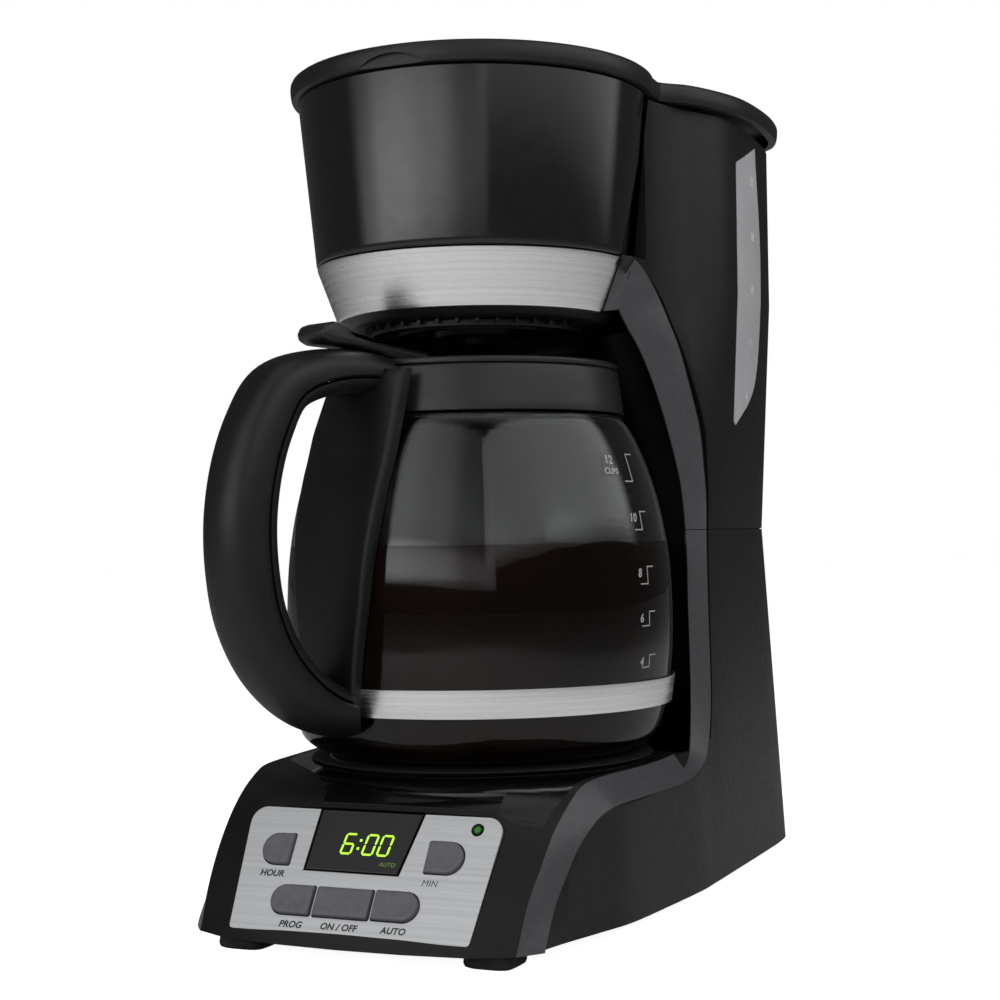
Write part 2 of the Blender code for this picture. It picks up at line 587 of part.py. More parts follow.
def make_cover():
    low, mid, top, crown = (cover_outline(g) for g in (-1.4, -0.2, -0.1, -4.0))
    rings = [[(x, y, z) for x, y in loop] for loop, z in (
        (low, COVER_BOTTOM), (mid, COVER_BOTTOM + 2.5), (top, COVER_TOP - 1.2), (crown, COVER_TOP))]
    cover = place("cover", loft(rings), None, at=(0, HINGE_Y, HINGE_Z))
    finish(cover, "body_black")
    under = place("cover_hollow", prism(cover_outline(-4.2), COVER_BOTTOM - 5, COVER_TOP - 2.6), None)
    cut(cover, under)
    lift = place("finger_lift", block((-19, -90, COVER_BOTTOM - 4), (19, -71.4, COVER_BOTTOM + 3.6), 1.5), None)
    cut(cover, lift)
    knuckle_notch = []
    for side, x in (("left", -1), ("right", 1)):
        low_x, high_x = sorted((x * 44, x * 50))
        notch = block((low_x, HINGE_Y - 10, 315), (high_x, HINGE_Y + 12, 334))
        knuckle_notch.append(place(f"knuckle_notch_{side}", notch, None))
        bore = cylinder((x * 43, HINGE_Y, HINGE_Z), (x * 58, HINGE_Y, HINGE_Z), 2.0, 16)
        lug = place(f"cover_lug_{side}", block((min(x * 50.3, x * 59), HINGE_Y - 3.6, HINGE_Z - 3.4),
                                              (max(x * 50.3, x * 59), HINGE_Y + 3.6, HINGE_Z + 5)), None)
        boolean(cover, "UNION", lug)
        cut(cover, place(f"pin_bore_{side}", bore, None))
        pin = cylinder((x * 45.0, HINGE_Y, HINGE_Z), (x * 57.5, HINGE_Y, HINGE_Z), 1.7, 12)
        place(f"hinge_pin_{side}", pin, "steel")
    cut(cover, *knuckle_notch)
    spreader = turned([(0, 322.4), (20, 322.4), (24, 325.9), (0, 325.9)], 28)
    head = place("spray_head", spreader, None, at=(0, HINGE_Y, HINGE_Z))
    finish(head, "body_black")
    boolean(head, "UNION", place("spray_trough", block((-7, 10, 322.6), (7, 73, 325.8)), None))
    cut(head, place("spray_channel", block((-5, 4, 321), (5, 71, 324.4)), None))


def panel_outline(grow=0.0):
    half = [(PANEL_HALF_BOTTOM - 1.5, 0), (PANEL_HALF_BOTTOM, 1.5), (PANEL_HALF_TOP - 0.6, PANEL_HEIGHT - 7)]
    corner = [(PANEL_HALF_TOP - 6.6 + 6 * cos(radians(a)), PANEL_HEIGHT - 6 + 6 * sin(radians(a)))
              for a in (20, 45, 70, 90)]
    right = half + corner
    return inset(right + [(-x, s) for x, s in reversed(right)], -grow)


def button_outline(left, right, low, high, rounded, grow=0.0):
    """A rectangle with a half oval end: rounded is -1 for the left end, 1 for the right, 0 for neither."""
    left, right, low, high = left - grow, right + grow, low - grow, high + grow
    if not rounded:
        return [(left, low), (right, low), (right, high), (left, high)]
    middle, tall, deep = (low + high) / 2, (high - low) / 2, min((high - low) / 2, 6.5)
    flat, tip = (left, right - deep) if rounded > 0 else (right, left + deep)
    arc = [(tip + rounded * deep * cos(radians(a)), middle + tall * sin(radians(a)))
           for a in range(-90, 91, 15)]
    points = [(flat, low), *arc, (flat, high)]
    return points if rounded > 0 else list(reversed(points))


def make_panel():
    plate = place("control_panel", panel_prism(panel_outline(), -PANEL_THICK, 0), "steel")
    for name, shape in BUTTONS.items():
        hole = panel_prism(button_outline(*shape, grow=0.35), -5, 5)
        cut(plate, place(f"{name}_hole", hole, None))
        cap = panel_prism(button_outline(*shape), -5.6, BUTTON_TRAVEL + GAP)
        bmesh.ops.recalc_face_normals(cap, faces=cap.faces)
        top = [e for e in cap.edges
               if all((v.co - PANEL_FOOT).dot(PANEL_OUT) > BUTTON_TRAVEL for v in e.verts)]
        bmesh.ops.bevel(cap, geom=top, offset=0.6, segments=1, affect="EDGES", profile=0.5)
        left, right, low, high, _ = shape
        place(name, cap, "grey_plastic", at=on_panel((left + right) / 2, (low + high) / 2))
    m = DISPLAY_MIDDLE
    notch = [(m - 22.0, 23.2), (m + 16.1, 23.2), (m + 22.0, 52), (m - 21.0, 52)]
    cut(plate, place("display_notch", panel_prism(notch, -6, 6), None))
    lens = [(m - 21.2, 23.6), (m + 15.6, 23.6), (m + 20.3, 46.6), (m - 20.3, 46.6)]
    place("display_lens", panel_prism(lens, -2.4, 0.3), "lens")
    module = [(m - 17, 26), (m + 13, 26), (m + 13, 43), (m - 17, 43)]
    place("display_module", panel_prism(module, -6.0, -2.8), "grey_plastic")
    led_hole = cylinder(on_panel(*LED_AT, -6), on_panel(*LED_AT, 6), 2.3, 16)
    cut(plate, place("led_hole", led_hole, None))
    led = cylinder(on_panel(*LED_AT, -6.5), on_panel(*LED_AT, 0.5), 1.95, 16)
    place("indicator_light", led, "led_green")
    board = [(-42, 6), (42.7, 6), (42.7, 43.6), (-42, 43.6)]
    place("control_board", panel_prism(board, -9.4, -7.8), "board")
    place("power_board", block((-62, 70, 12), (-8, 128, 13.6)), "board")
    place("relay", block((-46, 92, 14), (-26, 112, 30), 0.6), "grey_plastic")


def glass_radius(z):
    for (r0, z0), (r1, z1) in zip(GLASS[1:], GLASS[2:]):
        if z0 <= z <= z1:
            return r0 + (r1 - r0) * (z - z0) / (z1 - z0)
    return GLASS[-1][0]


STRAP_LOW, STRAP_HIGH = 73.0, 209.0
STRAP_HALF_WIDTHS = ((73, 9.5), (94, 13.4), (123, 18), (152, 20.5), (182, 22), (209, 22.6))


def strap_half(z):
    for (z0, w0), (z1, w1) in zip(STRAP_HALF_WIDTHS, STRAP_HALF_WIDTHS[1:]):
        if z0 <= z <= z1:
            return w0 + (w1 - w0) * (z - z0) / (z1 - z0)
    return STRAP_HALF_WIDTHS[-1][1]


def seat_radius(z):
    """Radius of the glass or, higher up, of the straight line on which the strap passes the collar."""
    return max(glass_radius(z), min(69, 69 - (z - 173.5) * 0.221))


def strap_plate(near, far, rows=14, columns=8):
    """A curved plate hugging the glass behind the handle, between near and far from its seat."""
    rings = []
    levels = [STRAP_LOW + (STRAP_HIGH - STRAP_LOW) * k / rows for k in range(rows + 1)]
    for i in range(columns + 1):
        across = 2 * i / columns - 1
        column = []
        for depth, order in ((near, levels), (far, list(reversed(levels)))):
            for z in order:
                radius = seat_radius(z) + depth
                turn = HANDLE_ANGLE + degrees(asin(strap_half(z) * across / radius))
                column.append(polar(turn, radius, z))
        rings.append(column)
    return loft(rings)


def handle_sweep(path, half, sides=12, power=0.75):
    """One half of the grip along (radius, height) points: 1 is the outer half, -1 the inner."""
    line = smooth_line([(r, z, 0) for r, z in path], 2)
    side = Vector((-cos(radians(HANDLE_ANGLE)), sin(radians(HANDLE_ANGLE)), 0))
    rings = []
    for i, point in enumerate(line):
        ahead = (line[min(i + 1, len(line) - 1)] - line[max(i - 1, 0)]).normalized()
        normal = Vector((-ahead.y, ahead.x, 0))
        share = i / (len(line) - 1)
        d, w = 6.9 + 3.9 * sin(pi * share) + 2 * share, 15 - 2.5 * sin(pi * share)
        seam = -0.35 * d + half * GAP / 2
        ring = []
        for k in range(sides):
            a = 2 * pi * k / sides
            u = abs(cos(a)) ** power * (1 if cos(a) > 0 else -1) * d
            u = max(u, seam) if half > 0 else min(u, seam)
            v = abs(sin(a)) ** power * (1 if sin(a) > 0 else -1) * w
            flat = point + normal * u
            ring.append(polar(HANDLE_ANGLE, flat.x, flat.y) + side * v)
        rings.append(ring)
    return loft(rings)


HANDLE_PATH = ((52, 207), (70, 208.4), (88, 206.6), (103.5, 200.4), (112.5, 187), (118.5, 171), (121.5, 153),
               (121, 135), (117.5, 118), (109.5, 102.5), (98.5, 91), (86, 83.5), (70, 79))


# Side outline of the lid's thumb lever: radius against height.
LEVER = (
    (34, 213.0), (50, 213.3), (56, 214.7), (60, 215.8), (66, 216.8), (73, 217.7), (84, 218.1), (87.3, 219.6),
    (88.2, 222), (86.6, 224.9), (82.5, 226.3), (78, 226.2), (75, 224.6), (73.2, 222.4), (71, 221.2),
    (63, 219.9), (53, 219.0), (42, 218.1), (34, 217.8),
)


def make_carafe():
    inside = [(r - GLASS_WALL, z) for r, z in GLASS[3:]]
    inside = [(0, GLASS_BOTTOM + 2.6), (60, GLASS_BOTTOM + 2.6), (66.6, 66.2), *inside]
    place("carafe_glass", turned([*GLASS, *reversed(inside)], 32), "glass", at=(0, 0, GLASS_BOTTOM))

    collar = [
        (54.0, COLLAR_TOP), (54.0, 201.8), (55.1, 197.8), (57.8, 194.0),
        (COLLAR_R + 1.4, COLLAR_BOTTOM + 0.4), (COLLAR_R + 1.1, 196.6), (COLLAR_R, 205.6),
        (COLLAR_R - 0.6, COLLAR_TOP - 0.8), (COLLAR_R - 1.4, COLLAR_TOP),
    ]
    place("carafe_collar", turned(collar, 32), "body_black", at=(0, 0, GLASS_BOTTOM))

    band = [(glass_radius(BAND_LOW) + GAP, BAND_LOW), (glass_radius(BAND_LOW) + 1.1, BAND_LOW),
            (glass_radius(BAND_HIGH) + 1.1, BAND_HIGH), (glass_radius(BAND_HIGH) + GAP, BAND_HIGH)]
    place("carafe_band", turned(band, 32), "steel", at=(0, 0, GLASS_BOTTOM))

    place("handle_strap", strap_plate(1.9, 5.0), "body_black", at=(0, 0, GLASS_BOTTOM))

    seat = [(seat_radius(z) + 5.4, z) for z in range(62, 210, 3)]
    keep_out = [(0, 60), *seat, (seat_radius(STRAP_HIGH) + 5.4, STRAP_HIGH + 0.4),
                (COLLAR_R + 1.9, STRAP_HIGH + 0.4), (COLLAR_R + 1.6, 240), (0, 240)]
    keep_out = place("handle_keep_out", turned(keep_out, 88), None)
    for name, half in (("carafe_handle", 1), ("handle_insert", -1)):
        cut(place(name, handle_sweep(HANDLE_PATH, half), "body_black", at=(0, 0, GLASS_BOTTOM)), keep_out)

    lid = [(0, 207), (12, 207), (18, 205.8), (48, 205.8), (50.6, 207.2), (50.6, 209.2), (53.6, 209.2),
           (53.6, 211.3), (56.6, 211.3), (56.6, 213.0), (55.8, 213.7), (50, 213.7), (47, 212.6), (20, 212.6),
           (12, 214.2), (0, 214.2)]
    lid_body = place("carafe_lid", turned(lid, 32), None, at=polar(HANDLE_ANGLE, 60.5, 217.8))
    finish(lid_body, "body_black")
    side = Vector((-cos(radians(HANDLE_ANGLE)), sin(radians(HANDLE_ANGLE)), 0))
    rings = []
    for across, trim in ((-8, 0.8), (-7.2, 0), (7.2, 0), (8, 0.8)):
        rings.append([polar(HANDLE_ANGLE, r, z) + side * across for r, z in inset(LEVER, trim)])
    boolean(lid_body, "UNION", place("lid_arm", loft(rings), None))
    return lid_body


def build():
    make_housings()
    make_base()
    make_heater()
    make_tank()
    make_basket_housing()
    make_brew_basket()
    make_cover()
    make_panel()
    make_carafe()


clear_scene()
MATERIALS = make_materials()
ROOT = bpy.data.objects.new("coffee_maker", None)
bpy.context.scene.collection.objects.link(ROOT)
ROOT.location = (0, AXIS_Y * MM, 0)
build()
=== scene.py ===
from math import acos, asin, copysign, cos, degrees, hypot, pi, radians, sin, sqrt

import bmesh
import bpy
from mathutils import Matrix, Vector, noise


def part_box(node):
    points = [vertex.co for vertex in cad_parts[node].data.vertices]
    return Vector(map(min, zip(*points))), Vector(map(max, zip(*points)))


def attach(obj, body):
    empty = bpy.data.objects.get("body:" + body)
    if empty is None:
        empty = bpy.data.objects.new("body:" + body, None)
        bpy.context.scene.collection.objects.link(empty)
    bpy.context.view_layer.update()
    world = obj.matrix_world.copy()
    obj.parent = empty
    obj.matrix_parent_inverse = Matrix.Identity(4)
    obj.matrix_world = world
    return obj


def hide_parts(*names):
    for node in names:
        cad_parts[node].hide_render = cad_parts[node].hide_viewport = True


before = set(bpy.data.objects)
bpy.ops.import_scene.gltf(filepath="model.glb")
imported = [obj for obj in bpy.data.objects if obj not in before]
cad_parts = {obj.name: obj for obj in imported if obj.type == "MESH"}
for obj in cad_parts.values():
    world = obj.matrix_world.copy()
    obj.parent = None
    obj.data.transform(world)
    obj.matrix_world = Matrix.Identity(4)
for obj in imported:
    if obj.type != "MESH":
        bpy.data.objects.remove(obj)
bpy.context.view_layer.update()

# The shapes below are written in millimetres about the upright axis of the carafe, with Z = 0 on the floor.
MM = 0.001
WELD = 1e-5
glass_low, glass_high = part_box("carafe_glass")
AXIS_Y = (glass_low.y + glass_high.y) / 2 / MM
GAP = 0.3
WALL = 2.6


def low_z(node):
    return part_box(node)[0].z / MM


def high_z(node):
    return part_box(node)[1].z / MM


HOUSING_BOTTOM = low_z("lower_housing")
SEAM_Z = (high_z("lower_housing") + low_z("upper_housing")) / 2
HOUSING_TOP = 319.5
DECK_Z = 58.0
PLATE_TOP = high_z("warming_plate")
COVER_BOTTOM, COVER_TOP, COVER_R = 320.6, high_z("cover"), 73.7
HINGE_X, HINGE_Y, HINGE_Z, PIN_R = 47, 154.5, 323.5, 2.0
PLATE_R = 62.0
BAND_TOP_Z, BAND_BOTTOM_Z = high_z("steel_band"), low_z("steel_band")
HANDLE_ANGLE = 20.0
COFFEE_Z = 142.0

# Half outlines of the body seen from above, from the front round the right side to the back.
FLOOR_OUTLINE = (
    (62, -135), (66, -105), (69, -89), (75, -67), (80, -47), (83, -16), (85.5, 18), (85.5, 35), (85.3, 52),
    (85, 72), (84.7, 95), (84.2, 120), (83.6, 140), (81.5, 156), (75, 166), (62, 170), (35, 171.5), (0, 172),
)
WAIST_OUTLINE = (
    (62, -135), (66, -105), (68, -89), (73, -67), (76, -47), (77.5, -16), (78, 10), (78.8, 35), (80.5, 50),
    (81.5, 65), (82, 85), (82, 105), (81, 122), (78.5, 136), (73, 147), (62, 153), (35, 156), (0, 157),
)
SHOULDER_WAIST = ((50, -12), (62, -8), (72, 4), (76, 16), (78, 26), *WAIST_OUTLINE[7:])
SHOULDER_TOP = (
    (50, -12), (60, -8), (66, 0), (67.5, 10), (69, 24), (74, 42), (80, 54),
    (85, 67), (87, 82), (87.5, 100), (86.8, 118), (84.5, 134), (78, 146), (64, 152), (35, 155), (0, 156),
)
SHOULDER_FULL_Z = 247.0

# The C-shaped front edge of the body, seen from the side: (centre Y, Z), inner edge (X, Y, Z), outer edge.
EDGE_STATIONS = (
    ((-120.5, 3), (62, -113, 3), (69, -104, 3)),
    ((-117, 8.3), (62.3, -110.5, 8), (69, -101, 8.7)),
    ((-108.8, 21.4), (63.2, -104, 21), (68.9, -92.6, 19.3)),
    ((-100.4, 34.7), (64.6, -95, 32.5), (70, -85, 28)),
    ((-93.5, 45.5), (65.4, -85.5, 42.6), (71.6, -78.2, 36)),
    ((-87, 53), (66.5, -74.5, 50.5), (73.4, -71, 41.8)),
    ((-78, 57), (67.5, -63, 56), (75.2, -63, 46)),
    ((-64, DECK_Z), (70, -50, 57.8), (77.7, -52, 48.1)),
    ((-30, DECK_Z), (74, -20, 58), (80.4, -27, 48.4)),
    ((0, DECK_Z), (75.5, 0, 58.3), (81.8, -8, 48.3)),
    ((14, 58.3), (76, 15, 59.2), (83, 12.6, 49.1)),
    ((26, 61.5), (75.8, 26, 62.5), (83.1, 27.4, 52)),
    ((34, 70), (75.4, 32.5, 70), (83, 36.5, 59)),
    ((38, 85), (75, 37.5, 85), (82.5, 43, 77.6)),
    ((42, 110), (74, 41, 110), (81.3, 45.6, 110)),
    ((44, 134), (73.2, 43.5, 134.6), (80.4, 47.5, 138)),
    ((44, 155), (72.2, 43.7, 155), (79.9, 49.6, 159)),
    ((41, 171), (70.8, 41, 171.4), (79.2, 49.5, 172)),
    ((34, 191.6), (68.1, 33.7, 191.6), (78.2, 48.3, 188)),
    ((25.5, 207.5), (65.7, 25.5, 207.5), (76.3, 43.2, 204)),
    ((16, 218.8), (64.2, 16, 218.8), (74, 36.8, 220)),
    ((7, 227), (62.5, 7, 227), (71.9, 30.9, 230.2)),
    ((-1, 233.5), (61.4, 0, 233.5), (69.8, 25.2, 239.4)),
    ((-10, 237), (61.5, -4, 239), (68.5, 17.2, 246.6)),
    ((-20, 240), (62, -8, 246), (67, 3, 253.5)),
    ((-40, 242), (62, -40, 250), (67, -40, 256)),
)
FRONT_BULGE = ((0, 4.0), (24, 3.0), (47, 0.0))
BULGE_FADE = 28.0
RIM_OVERRUN = 3.0
FAR_OUT, FAR_FRONT = 150.0, -260.0

# Radius against height of the hollow that the carafe stands in.
BAY = ((84.5, DECK_Z), (84.5, 150), (82, 171), (76.2, 192), (70.5, 207.5), (66, 219), (62.2, 229))
LINER = 2.0
SHELL_TOP_R, SHELL_BOTTOM_R = 70.5, 63.9
BAND_BOTTOM_R = 56.0
BASKET_FLOOR = 237.2

GLASS = (
    (60, 60.4), (68.5, 64.2), (73.4, 71), (76.7, 90.5), (77.7, 110), (76.9, 134), (73.9, 155),
    (69, 173.5), (62.5, 189.4), (57.2, 193.1), (54.6, 197.1), (53.6, 201.6), (53.6, 208.6),
)
GLASS_BOTTOM, GLASS_WALL = 60.4, 2.2
COLLAR_R, COLLAR_BOTTOM, COLLAR_TOP = 57.5, 192.6, 211.0
CARAFE_BAND_LOW, CARAFE_BAND_HIGH = low_z("carafe_band"), high_z("carafe_band")

# The control panel lies in a plane that leans back: along it s runs up from the panel's lower edge.
PANEL_FOOT = Vector((0, -117.0, 8.3))
PANEL_UP = Vector((0, 24.9, 39.7)).normalized()
PANEL_OUT = Vector((0, -PANEL_UP.z, PANEL_UP.y))
PANEL_HALF_BOTTOM, PANEL_HALF_TOP, PANEL_HEIGHT = 47.2, 51.0, 46.8
PANEL_THICK = 1.4
DISPLAY_MIDDLE = -1.4
BUTTON_PROUD = 1.5
# name: (left, right, low, high, side that is rounded)
BUTTONS = {
    "hour": (-41.6, -29.9, 24.8, 36.4, -1),
    "min": (24.2, 38.0, 25.0, 36.7, 1),
    "prog": (-32.6, -16.4, 6.6, 17.2, -1),
    "on_off": (-14.9, 6.8, 6.6, 17.2, 0),
    "auto": (8.2, 25.2, 6.8, 17.4, 1),
}
LED_AT = (40.8, 42.0)
SIDES = (("right", 1), ("left", -1))
UP = Vector((0, 0, 1))


# ---------------------------------------------------------------- materials

MATERIALS = {}


def linear(*srgb):
    """A colour given as 0-255 display values, as the linear values that a shader takes."""
    return tuple((c / 255 / 12.92) if c < 11 else ((c / 255 + 0.055) / 1.055) ** 2.4 for c in srgb)


class Look:
    """A Principled material with procedural detail in the object's own coordinates."""

    def __init__(self, name, colour, roughness, metallic=0.0, **sockets):
        self.material = bpy.data.materials.new(name)
        self.material.use_nodes = True
        MATERIALS[name] = self.material
        self.tree = self.material.node_tree
        self.shader = self.tree.nodes["Principled BSDF"]
        self.set(self.shader, "Base Color", (*colour, 1))
        self.set(self.shader, "Roughness", roughness)
        self.set(self.shader, "Metallic", metallic)
        for socket, value in sockets.items():
            self.set(self.shader, socket.replace("_", " ").title().replace("Ior", "IOR"), value)
        self.coordinates = self.tree.nodes.new("ShaderNodeTexCoord").outputs["Object"]
        self.normal = None

    def set(self, node, socket, value):
        node.inputs[socket].default_value = value

    def node(self, kind, **values):
        made = self.tree.nodes.new(kind)
        for name, value in values.items():
            setattr(made, name, value)
        return made

    def link(self, output, socket):
        self.tree.links.new(output, socket)

    def noise(self, scale, detail=3.0, stretch=(1, 1, 1)):
        """Noise of this many cells a metre, stretched per axis."""
        mapping = self.node("ShaderNodeMapping")
        self.set(mapping, "Scale", stretch)
        self.link(self.coordinates, mapping.inputs["Vector"])
        texture = self.node("ShaderNodeTexNoise")
        self.set(texture, "Scale", scale)
        self.set(texture, "Detail", detail)
        self.link(mapping.outputs["Vector"], texture.inputs["Vector"])
        return texture.outputs["Fac"]

    def ramp(self, value, low, high, start=0.3, end=0.7):
        """The value mapped from start..end to low..high."""
        mapped = self.node("ShaderNodeMapRange")
        for socket, number in (("From Min", start), ("From Max", end), ("To Min", low), ("To Max", high)):
            self.set(mapped, socket, number)
        self.link(value, mapped.inputs["Value"])
        return mapped.outputs["Result"]

    def vary_roughness(self, value, low, high):
        self.link(self.ramp(value, low, high), self.shader.inputs["Roughness"])
        return self

    def vary_colour(self, value, first, second, start=0.3, end=0.7):
        mix = self.node("ShaderNodeMix", data_type="RGBA")
        self.link(self.ramp(value, 0, 1, start, end), mix.inputs["Factor"])
        mix.inputs["A"].default_value = (*first, 1)
        mix.inputs["B"].default_value = (*second, 1)
        self.link(mix.outputs["Result"], self.shader.inputs["Base Color"])
        return self

    def bump(self, value, depth, strength=1.0):
        """Bump of this depth in metres, added on top of any bump made before."""
        bump = self.node("ShaderNodeBump")
        self.set(bump, "Strength", strength)
        self.set(bump, "Distance", depth)
        self.link(value, bump.inputs["Height"])
        if self.normal:
            self.link(self.normal, bump.inputs["Normal"])
        self.normal = bump.outputs["Normal"]
        self.link(self.normal, self.shader.inputs["Normal"])
        return self


def finish(name, colour, roughness, tone, wear, relief, metallic=0.0, **sockets):
    """A look varied by three noises, each given by its scale and detail first. Then tone has the shares of
    the colour to vary between, wear the changes of roughness, and relief a depth in metres and a strength."""
    look = Look(name, colour, roughness, metallic, **sockets)
    if tone:
        scale, detail, *shares = tone
        look.vary_colour(look.noise(scale, detail), *(tuple(c * share for c in colour) for share in shares))
    if wear:
        scale, detail, less, more = wear
        look.vary_roughness(look.noise(scale, detail), roughness + less, roughness + more)
    scale, detail, depth, strength = relief
    look.bump(look.noise(scale, detail), depth, strength)
    return look


def plastic(name, colour, roughness, grain=2200, grain_depth=0.00003, specular=0.5):
    """Moulded plastic: a fine spark-eroded grain, slight mottling and a little handling wear."""
    finish(name, colour, roughness, (320, 4, 0.9, 1.1), (260, 5, -0.03, 0.04), (grain, 2, grain_depth, 1),
           specular_ior_level=specular)


def gloss(name, colour, roughness, specular=0.5):
    """Polished plastic: nearly smooth, with a very faint moulding ripple and hair-fine marks."""
    finish(name, colour, roughness, (30, 3, 0.92, 1.08), (160, 5, -0.02, 0.035), (60, 1, 0.00002, 0.35),
           specular_ior_level=specular)


def brushed(name, colour, stretch, roughness):
    """Brushed steel, its scratches running along the axes that stretch leaves short."""
    look = Look(name, colour, roughness, 1.0)
    fine = look.noise(1.0, 6, stretch)
    broad = look.noise(1.0, 3, tuple(s * 0.21 for s in stretch))
    look.vary_colour(broad, tuple(c * 0.9 for c in colour), tuple(min(c * 1.06, 1) for c in colour))
    look.vary_roughness(fine, roughness - 0.07, roughness + 0.1)
    look.bump(fine, 0.00001)


def rubber(name, colour):
    """Matt rubber or silicone, mottled and rough."""
    finish(name, colour, 0.72, (120, 4, 0.75, 1.3), (300, 4, -0.1, 0.1), (1500, 3, 0.00006, 1),
           specular_ior_level=0.35)


def cast_metal(name, colour, roughness=0.42):
    """Unpolished metal with a coarse skin."""
    finish(name, colour, roughness, (90, 5, 0.75, 1), (240, 4, -0.1, 0.14), (900, 4, 0.00005, 1), 1.0)


def printed(name, colour):
    finish(name, colour, 0.5, (900, 3, 0.8, 1), None, (4000, 2, 0.00001, 1))


def glowing(name, colour, strength):
    look = finish(name, colour, 0.4, None, (800, 3, -0.1, 0.1), (3000, 2, 0.00002, 1))
    look.set(look.shader, "Emission Color", (*colour, 1))
    look.set(look.shader, "Emission Strength", strength)


def clear_glass(name):
    """Glass that lets the lights through to what stands behind it."""
    look = Look(name, (0.93, 0.95, 0.95), 0.02, transmission_weight=1.0, ior=1.4, specular_ior_level=0.5)
    look.vary_roughness(look.noise(40, 4), 0.0, 0.05)
    look.bump(look.noise(22, 1), 0.00006, 0.2)
    lamp = look.node("ShaderNodeLightPath")
    clear = look.node("ShaderNodeBsdfTransparent")
    mix = look.node("ShaderNodeMixShader")
    output = look.tree.nodes["Material Output"]
    look.link(lamp.outputs["Is Shadow Ray"], mix.inputs["Fac"])
    look.link(look.shader.outputs["BSDF"], mix.inputs[1])
    look.link(clear.outputs["BSDF"], mix.inputs[2])
    look.link(mix.outputs["Shader"], output.inputs["Surface"])


def coffee_look():
    """Black coffee: nearly opaque, redder where the light gets through near the surface."""
    look = Look("coffee", linear(12, 6, 4), 0.08, specular_ior_level=0.04)
    look.vary_colour(look.noise(14, 3), linear(8, 4, 3), linear(20, 9, 5))
    look.vary_roughness(look.noise(50, 3), 0.05, 0.12)


def circuit_board():
    look = Look("board", linear(24, 70, 36), 0.4)
    look.vary_colour(look.noise(260, 2, (1, 0.2, 1)), linear(18, 58, 30), linear(46, 104, 58), 0.48, 0.52)
    look.vary_roughness(look.noise(500, 3), 0.3, 0.5)
    look.bump(look.noise(260, 2, (1, 0.2, 1)), 0.00008)


plastic("body", linear(18, 18, 20), 0.42, specular=0.28)
plastic("trim", linear(74, 74, 77), 0.38, grain=3200, specular=0.45)
# Polished black for the deck round the plate: its darker colour is painted shade and reflection of the carafe
# and handle.
gloss("shaded_gloss", linear(9, 9, 10), 0.09, specular=0.5)
# Near-black and barely reflecting: painted shadow along the outer edge of the bevel.
plastic("painted_shadow", linear(5, 5, 5), 0.7, specular=0.05)
gloss("liner", linear(14, 14, 15), 0.16, specular=0.4)
gloss("shell", linear(27, 27, 29), 0.13, specular=0.5)
plastic("cover", linear(24, 24, 26), 0.4, specular=0.4)
plastic("basket", linear(22, 22, 23), 0.45, specular=0.35)
plastic("handle", linear(20, 20, 21), 0.4, grain=2600, specular=0.35)
plastic("insert", linear(24, 24, 26), 0.5, grain=1600, specular=0.35)
plastic("collar", linear(34, 34, 36), 0.34, grain=3200, specular=0.4)
brushed("band", (0.86, 0.86, 0.86), (4, 4, 3600), 0.27)
brushed("panel", (0.52, 0.53, 0.54), (5, 3400, 3400), 0.38)
plastic("button", linear(98, 98, 101), 0.42, grain=2600, specular=0.4)
clear_glass("glass")
coffee_look()
gloss("foam", linear(120, 84, 54), 0.2)
gloss("window", linear(190, 190, 193), 0.3)
gloss("lens", linear(8, 8, 9), 0.07, specular=0.3)
glowing("digits", linear(150, 205, 40), 1.6)
glowing("digits_dim", linear(95, 120, 60), 0.5)
glowing("led", linear(40, 120, 30), 0.12)
printed("ink", linear(22, 22, 24))
printed("white_ink", linear(235, 235, 235))
printed("glass_ink", linear(190, 188, 184))
rubber("rubber", linear(22, 22, 22))
plastic("plate", linear(20, 20, 20), 0.3, grain=1400, grain_depth=0.00005, specular=0.5)
plastic("tank", linear(52, 52, 54), 0.45)
cast_metal("aluminium", (0.62, 0.62, 0.63))
cast_metal("plated", (0.66, 0.66, 0.65), 0.24)
rubber("silicone", linear(196, 190, 178))
rubber("dark_silicone", linear(38, 37, 36))
circuit_board()
plastic("relay", linear(30, 30, 33), 0.5)


# ---------------------------------------------------------------- mesh helpers


def as_mesh(name, bm):
    mesh = bpy.data.meshes.new(name)
    bm.to_mesh(mesh)
    bm.free()
    return mesh


def placed(name, data):
    made = bpy.data.objects.new(name, data)
    bpy.context.scene.collection.objects.link(made)
    return made


def paint(mesh, material, smooth):
    mesh.materials.append(MATERIALS[material])
    mesh.shade_smooth()
    mesh.set_sharp_from_angle(angle=radians(smooth))


def add(name, bm, material, body="housing", replaces=(), smooth=25.0):
    """Turns a bmesh in millimetres into a piece that rides on a body."""
    bmesh.ops.remove_doubles(bm, verts=bm.verts, dist=WELD)
    bmesh.ops.recalc_face_normals(bm, faces=bm.faces)
    bmesh.ops.transform(bm, matrix=Matrix.Scale(MM, 4) @ Matrix.Translation((0, AXIS_Y, 0)), verts=bm.verts)
    mesh = as_mesh(name, bm)
    paint(mesh, material, smooth)
    piece = placed(name, mesh)
    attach(piece, body)
    if replaces:
        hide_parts(*([replaces] if isinstance(replaces, str) else replaces))
    return piece


def combined(operation, base, *others):
    """The solid base with the others cut from it, joined to it or crossed with it, as a new bmesh."""
    made = []
    for k, bm in enumerate((base, *others)):
        bmesh.ops.recalc_face_normals(bm, faces=bm.faces)
        made.append(placed(f"working_{k}", as_mesh(f"working_{k}", bm)))
    for other in made[1:]:
        modifier = made[0].modifiers.new(other.name, "BOOLEAN")
        modifier.operation = operation
        modifier.object = other
    result = bmesh.new()
    result.from_object(made[0], bpy.context.evaluated_depsgraph_get())
    for obj in made:
        mesh = obj.data
        bpy.data.objects.remove(obj)
        bpy.data.meshes.remove(mesh)
    return result


def cut(base, *others):
    return combined("DIFFERENCE", base, *others)


